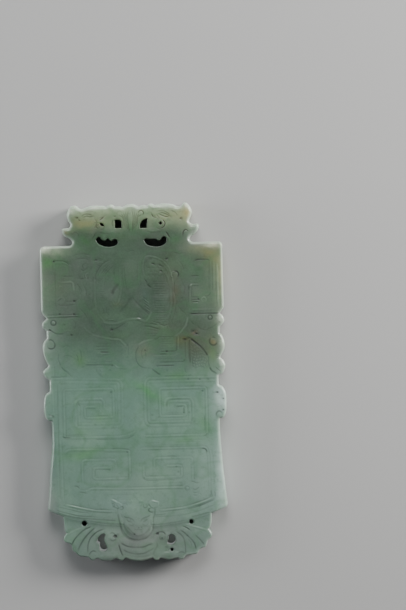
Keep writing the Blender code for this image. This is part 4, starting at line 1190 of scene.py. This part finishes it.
def patch(x, y, wide, high, strength, turn=0):
    """A soft patch: strength / (1 + u2 + v2)2, over its half sizes in millimetres, turned by degrees."""
    c, s = math.cos(math.radians(turn)), math.sin(math.radians(turn))
    u = (across * (c / wide)) + (upward * (s / wide)) - (x * c + y * s) / wide
    v = (upward * (c / high)) - (across * (s / high)) - (y * c - x * s) / high
    spread = u * u + v * v + 1
    return strength / (spread * spread)


def step_up(value, low, high):
    """0 below one value and 1 above the other, with a straight slope between them."""
    return ((value - low) / (high - low)).sum("MULTIPLY", 1.0, True)


shade = step_up(upward + across * .10, 34.5, 44.0)
colour = mixed(shade, srgb(107, 140, 126), srgb(56, 73, 60))
colour = mixed(step_up(upward + across * .04, 64.3, 68.2), colour, srgb(148, 166, 130))

# each patch: its place, half sizes, strength and colour, and its turn if it has one
# the near-white patches along the crest's top, the block's upper corners, the lobes of the right flank and
# the right margin are painted highlights
PATCHES = """
    -17.6,55 2.2,7 .75 118,134,108; 17.6,54 2.4,8 .85 128,146,116; -12,54 4,4.5 .45 86,90,82;
    13.4,51.4 2.4,2.6 .4 104,132,102; 6,45.6 3.2,1.8 .5 82,90,62; 1.8,41.4 1.8,1.4 .5 120,124,82;
    -15.4,60.8 2.6,1 .5 158,176,142; 0,68.2 2.4,1.6 .5 172,192,158; -5,69.7 6,.5 .8 226,236,216;
    6,69.7 6,.5 .8 226,236,216; -11.3,69 .9,1 .8 222,230,208; 11,69.3 .9,.7 .8 230,236,216;
    -3.5,47.5 6,4.5 .7 46,66,54; -7,47.2 4.6,2 .6 58,68,62; -17,45 3.4,7 .8 122,142,130;
    -13,47 2.4,2 .4 98,118,104; 0,63.6 12,1.4 .45 66,94,60; 0,57.5 2.2,3 .45 96,120,96;
    13,51 2.6,3 .4 100,122,98; -7,66.4 4.5,1 .5 140,144,88; 7,67.2 3.2,.9 .4 156,158,104;
    -16.4,61.2 2.4,.8 .7 184,196,168; 13,60.9 2.4,.9 .7 142,144,104; 16.6,58.6 1.8,2.6 .7 124,126,74;
    7,56.8 4.4,3.2 .6 56,58,44; -9.4,66.6 3,1.2 .6 134,130,76; 11.2,68.2 1.8,1.6 .85 210,192,130;
    0,65.2 1.4,1.8 .7 56,104,60; -9,63 2.4,1 .85 46,98,48 -20; 8.6,62.6 2,1.1 .85 50,98,54;
    -12.9,64.8 .8,.8 .7 150,128,92; 12.9,64.8 1.2,1.2 .8 190,206,188; -17.2,61.6 2.4,.8 .9 226,230,210;
    16,61.8 3,.7 .85 226,226,200; -16.2,58.6 1.9,1.3 .85 72,128,66; 15.4,60.2 2.2,1.2 .75 130,124,74;
    17.5,56 .9,5 .6 176,172,122; -2.4,55 1.4,3.6 .5 54,98,62; 8,55.5 2.2,4.5 .75 66,70,52;
    8.3,52.6 1,3.2 .6 86,66,46; 2.6,52 1,2.4 .5 78,98,92 20; -3,50.3 1.6,.7 .5 78,88,56;
    -2.4,44.4 2,1 .6 60,88,58; 0,43.2 1.6,1.6 .55 62,84,66; 12.5,41.5 3.4,3.6 .65 74,80,58;
    12.1,44.4 .9,.5 .75 98,66,42 20; 11.8,42.4 1.8,2 .4 84,74,50; 10.3,43.2 1.3,.6 .9 78,72,24;
    9,42.8 1.5,1.1 .6 94,96,44; 15.5,42.8 .8,.7 .6 142,116,70; 15.4,40 1.2,2.2 .6 104,116,56;
    -10.8,39.8 1.5,1.4 .75 70,118,60; -10.5,21.2 5.4,1.1 .75 80,140,84 9;
    2.6,33.2 3.8,1.1 .85 78,144,86 -32; 13.6,26.4 2.2,2.6 .85 66,132,74; 10,23.5 3.4,1 .7 80,140,86;
    -7,28.3 1.6,1.2 .5 84,142,86; -11,25.4 1.8,1 .4 88,142,90; 8.6,36 2.8,1 .6 82,136,84;
    -3.5,11.5 5,2 .5 138,172,166; 17.6,42 1,7 .6 178,192,172; 17.3,38.2 .9,1.2 .95 220,226,214;
    17.4,43 .8,1.4 .9 206,214,194; 17.4,46.9 .8,.9 .95 220,226,210; -17.5,43 1,2 .6 160,178,164;
    -17.5,37.3 .9,1 .5 160,178,164; 17.2,31.5 1.8,3.2 .9 214,232,228; 17,16.5 1.7,8 .95 204,224,222;
    13.2,17 3,9 .8 152,178,168; 2,15 15,8 .6 128,151,139; 0,4 17,6.6 .95 124,130,126;
    0,.6 16,1.2 .5 96,100,94; -14.5,34.5 3,2.5 .4 94,124,108; -17.2,12 2,6 .7 148,154,149;
    -14.5,54 2.4,3 .4 86,90,66"""
for row in PATCHES.split(";"):
    x, y, wide, high, strength, red, green, blue, *turn = (float(v) for v in row.replace(",", " ").split())
    colour = mixed(patch(x, y, wide, high, strength, *turn), colour, srgb(red, green, blue))

hue = noise(5.0, 4, .6, 1.3)
colour = mixed((hue - .5) * (shade * 1.7 + .5), colour, srgb(98, 100, 98))
colour = mixed((.5 - hue) * (shade * 1.2 + .6), colour, srgb(80, 112, 78))
clouds = noise(7.0, 4, .6, 0)
colour = mixed((clouds - 0.45) * (1.2 - shade * .75), colour, srgb(146, 180, 156))
flecks = noise(1.1, 4, .65, .2)
colour = mixed((0.47 - flecks) * 1.8, colour, srgb(70, 104, 78))
grain = noise(.35, 2, .5, .9)
colour = mixed(0.12, colour, mixed(grain, srgb(80, 114, 90), srgb(170, 200, 176)))
vein = noise(9.0, 2, .5, .7)
vein = 1 - (vein - 0.5).sum("ABSOLUTE") * 26
colour = mixed(vein.sum("MULTIPLY", .22, True), colour, srgb(70, 122, 78))
cut_depth, rim_light_share = attribute("cut"), attribute("rim")
# painted highlight: paler at the rims, more towards the crest's top
rim_highlight = rim_light_share * rim_light_share * (step_up(upward, 2, 75) * .5 + .28)
rim_highlight = rim_highlight + step_up(upward, 64, 70) * rim_light_share * .3
colour = mixed(rim_highlight, colour, srgb(214, 230, 214))
# dirt and painted shade: darker in the cuts and round the openings, browner on the crest
colour = mixed(cut_depth * .85, colour, mixed(step_up(upward, 62, 67), srgb(16, 26, 18), srgb(50, 42, 18)))
# paler along the raised threads and ribs: part polish wear, part painted highlight
colour = mixed(attribute("crest") * .15, colour, srgb(180, 206, 184))

jade.node_tree.links.new(colour.socket, shader.inputs["Base Color"])
# painted light: the walls of the wing windows glow with their own emission
painted_window_glow = mixed(attribute("glow"), (0, 0, 0, 1), (.24, .25, .25, 1))
jade.node_tree.links.new(painted_window_glow.socket, shader.inputs["Emission Color"])
shader.inputs["Emission Strength"].default_value = 1.0
gloss = 0.26 + noise(2.2, 3, .6, .4) * 0.12 + cut_depth * 0.25
jade.node_tree.links.new(gloss.socket, shader.inputs["Roughness"])
hand_worked = noise(2.6, 2, .5, .15) + 0.12 * noise(.28, 2, .5, .6)
bump = Flow.node("ShaderNodeBump", None, {"Strength": .35, "Distance": .00012, "Height": hand_worked})
jade.node_tree.links.new(bump.socket, shader.inputs["Normal"])
shader.inputs["Subsurface Weight"].default_value = 0.45
shader.inputs["Subsurface Radius"].default_value = (0.7, 1.0, 0.75)
shader.inputs["Subsurface Scale"].default_value = 0.0009
shader.inputs["IOR"].default_value = 1.6
shader.inputs["Coat Weight"].default_value = 0.15
shader.inputs["Coat Roughness"].default_value = 0.12
mesh.materials.append(jade)

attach(plaque, "root")
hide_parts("plaque")


# The table it lies on: one plain sheet of pale grey paper, matt and without a pattern, so that
# the outline of the jade reads all round. It is stage only.
floor_mesh = bpy.data.meshes.new("table")
corners = [(x, y, -.0002) for x, y in ((-1, -1), (1, -1), (1, 1), (-1, 1))]
floor_mesh.from_pydata(corners, [], [(0, 1, 2, 3)])
table = bpy.data.objects.new("table", floor_mesh)
bpy.context.scene.collection.objects.link(table)
paper = bpy.data.materials.new("pale_table")
paper.use_nodes = True
paper.node_tree.nodes["Principled BSDF"].inputs["Base Color"].default_value = (.50, .50, .495, 1)
paper.node_tree.nodes["Principled BSDF"].inputs["Roughness"].default_value = .8
floor_mesh.materials.append(paper)


# Studio light: a soft box low at the right rakes over the carving, a weaker one at the left fills
# its shadows, and one above the crest lights the tips. All three are cloth-covered boxes.

def soft_box(name, place, aim, size, power, tint=(1, 1, 1)):
    """A square area light at a place, turned to face a point."""
    light = bpy.data.lights.new(name, "AREA")
    light.size = size
    light.energy = power
    light.color = tint
    lamp = bpy.data.objects.new(name, light)
    lamp.location = place
    lamp.rotation_euler = (Vector(aim) - Vector(place)).to_track_quat("-Z", "Y").to_euler()
    bpy.context.scene.collection.objects.link(lamp)


soft_box("key", (.33, .14, .15), (0, 0, 0), .16, 1.95, (1, .985, .96))
soft_box("top", (.02, .26, .28), (0, .01, 0), .20, .7)
soft_box("left", (-.34, .05, .09), (0, 0, 0), .16, .8, (.95, .98, 1))
world = bpy.data.worlds.new("studio")
world.use_nodes = True
world.node_tree.nodes["Background"].inputs["Color"].default_value = (.8, .84, .88, 1)
world.node_tree.nodes["Background"].inputs["Strength"].default_value = .10
bpy.context.scene.world = world


# Camera: it looks straight down on the face with a long lens, turned a little, so that the
# pendant leans to the left and stands left of the middle.
LENS, SENSOR, PICTURE_HEIGHT = 150.0, 36.0, .1194
view = bpy.data.cameras.new("camera")
view.lens = LENS
view.sensor_width = SENSOR
camera = bpy.data.objects.new("camera", view)
camera.location = (.0138, .0148, FACE / 1000 + PICTURE_HEIGHT * LENS / SENSOR)
camera.rotation_euler = (0, 0, math.radians(-1.5))
bpy.context.scene.collection.objects.link(camera)
bpy.context.scene.camera = camera
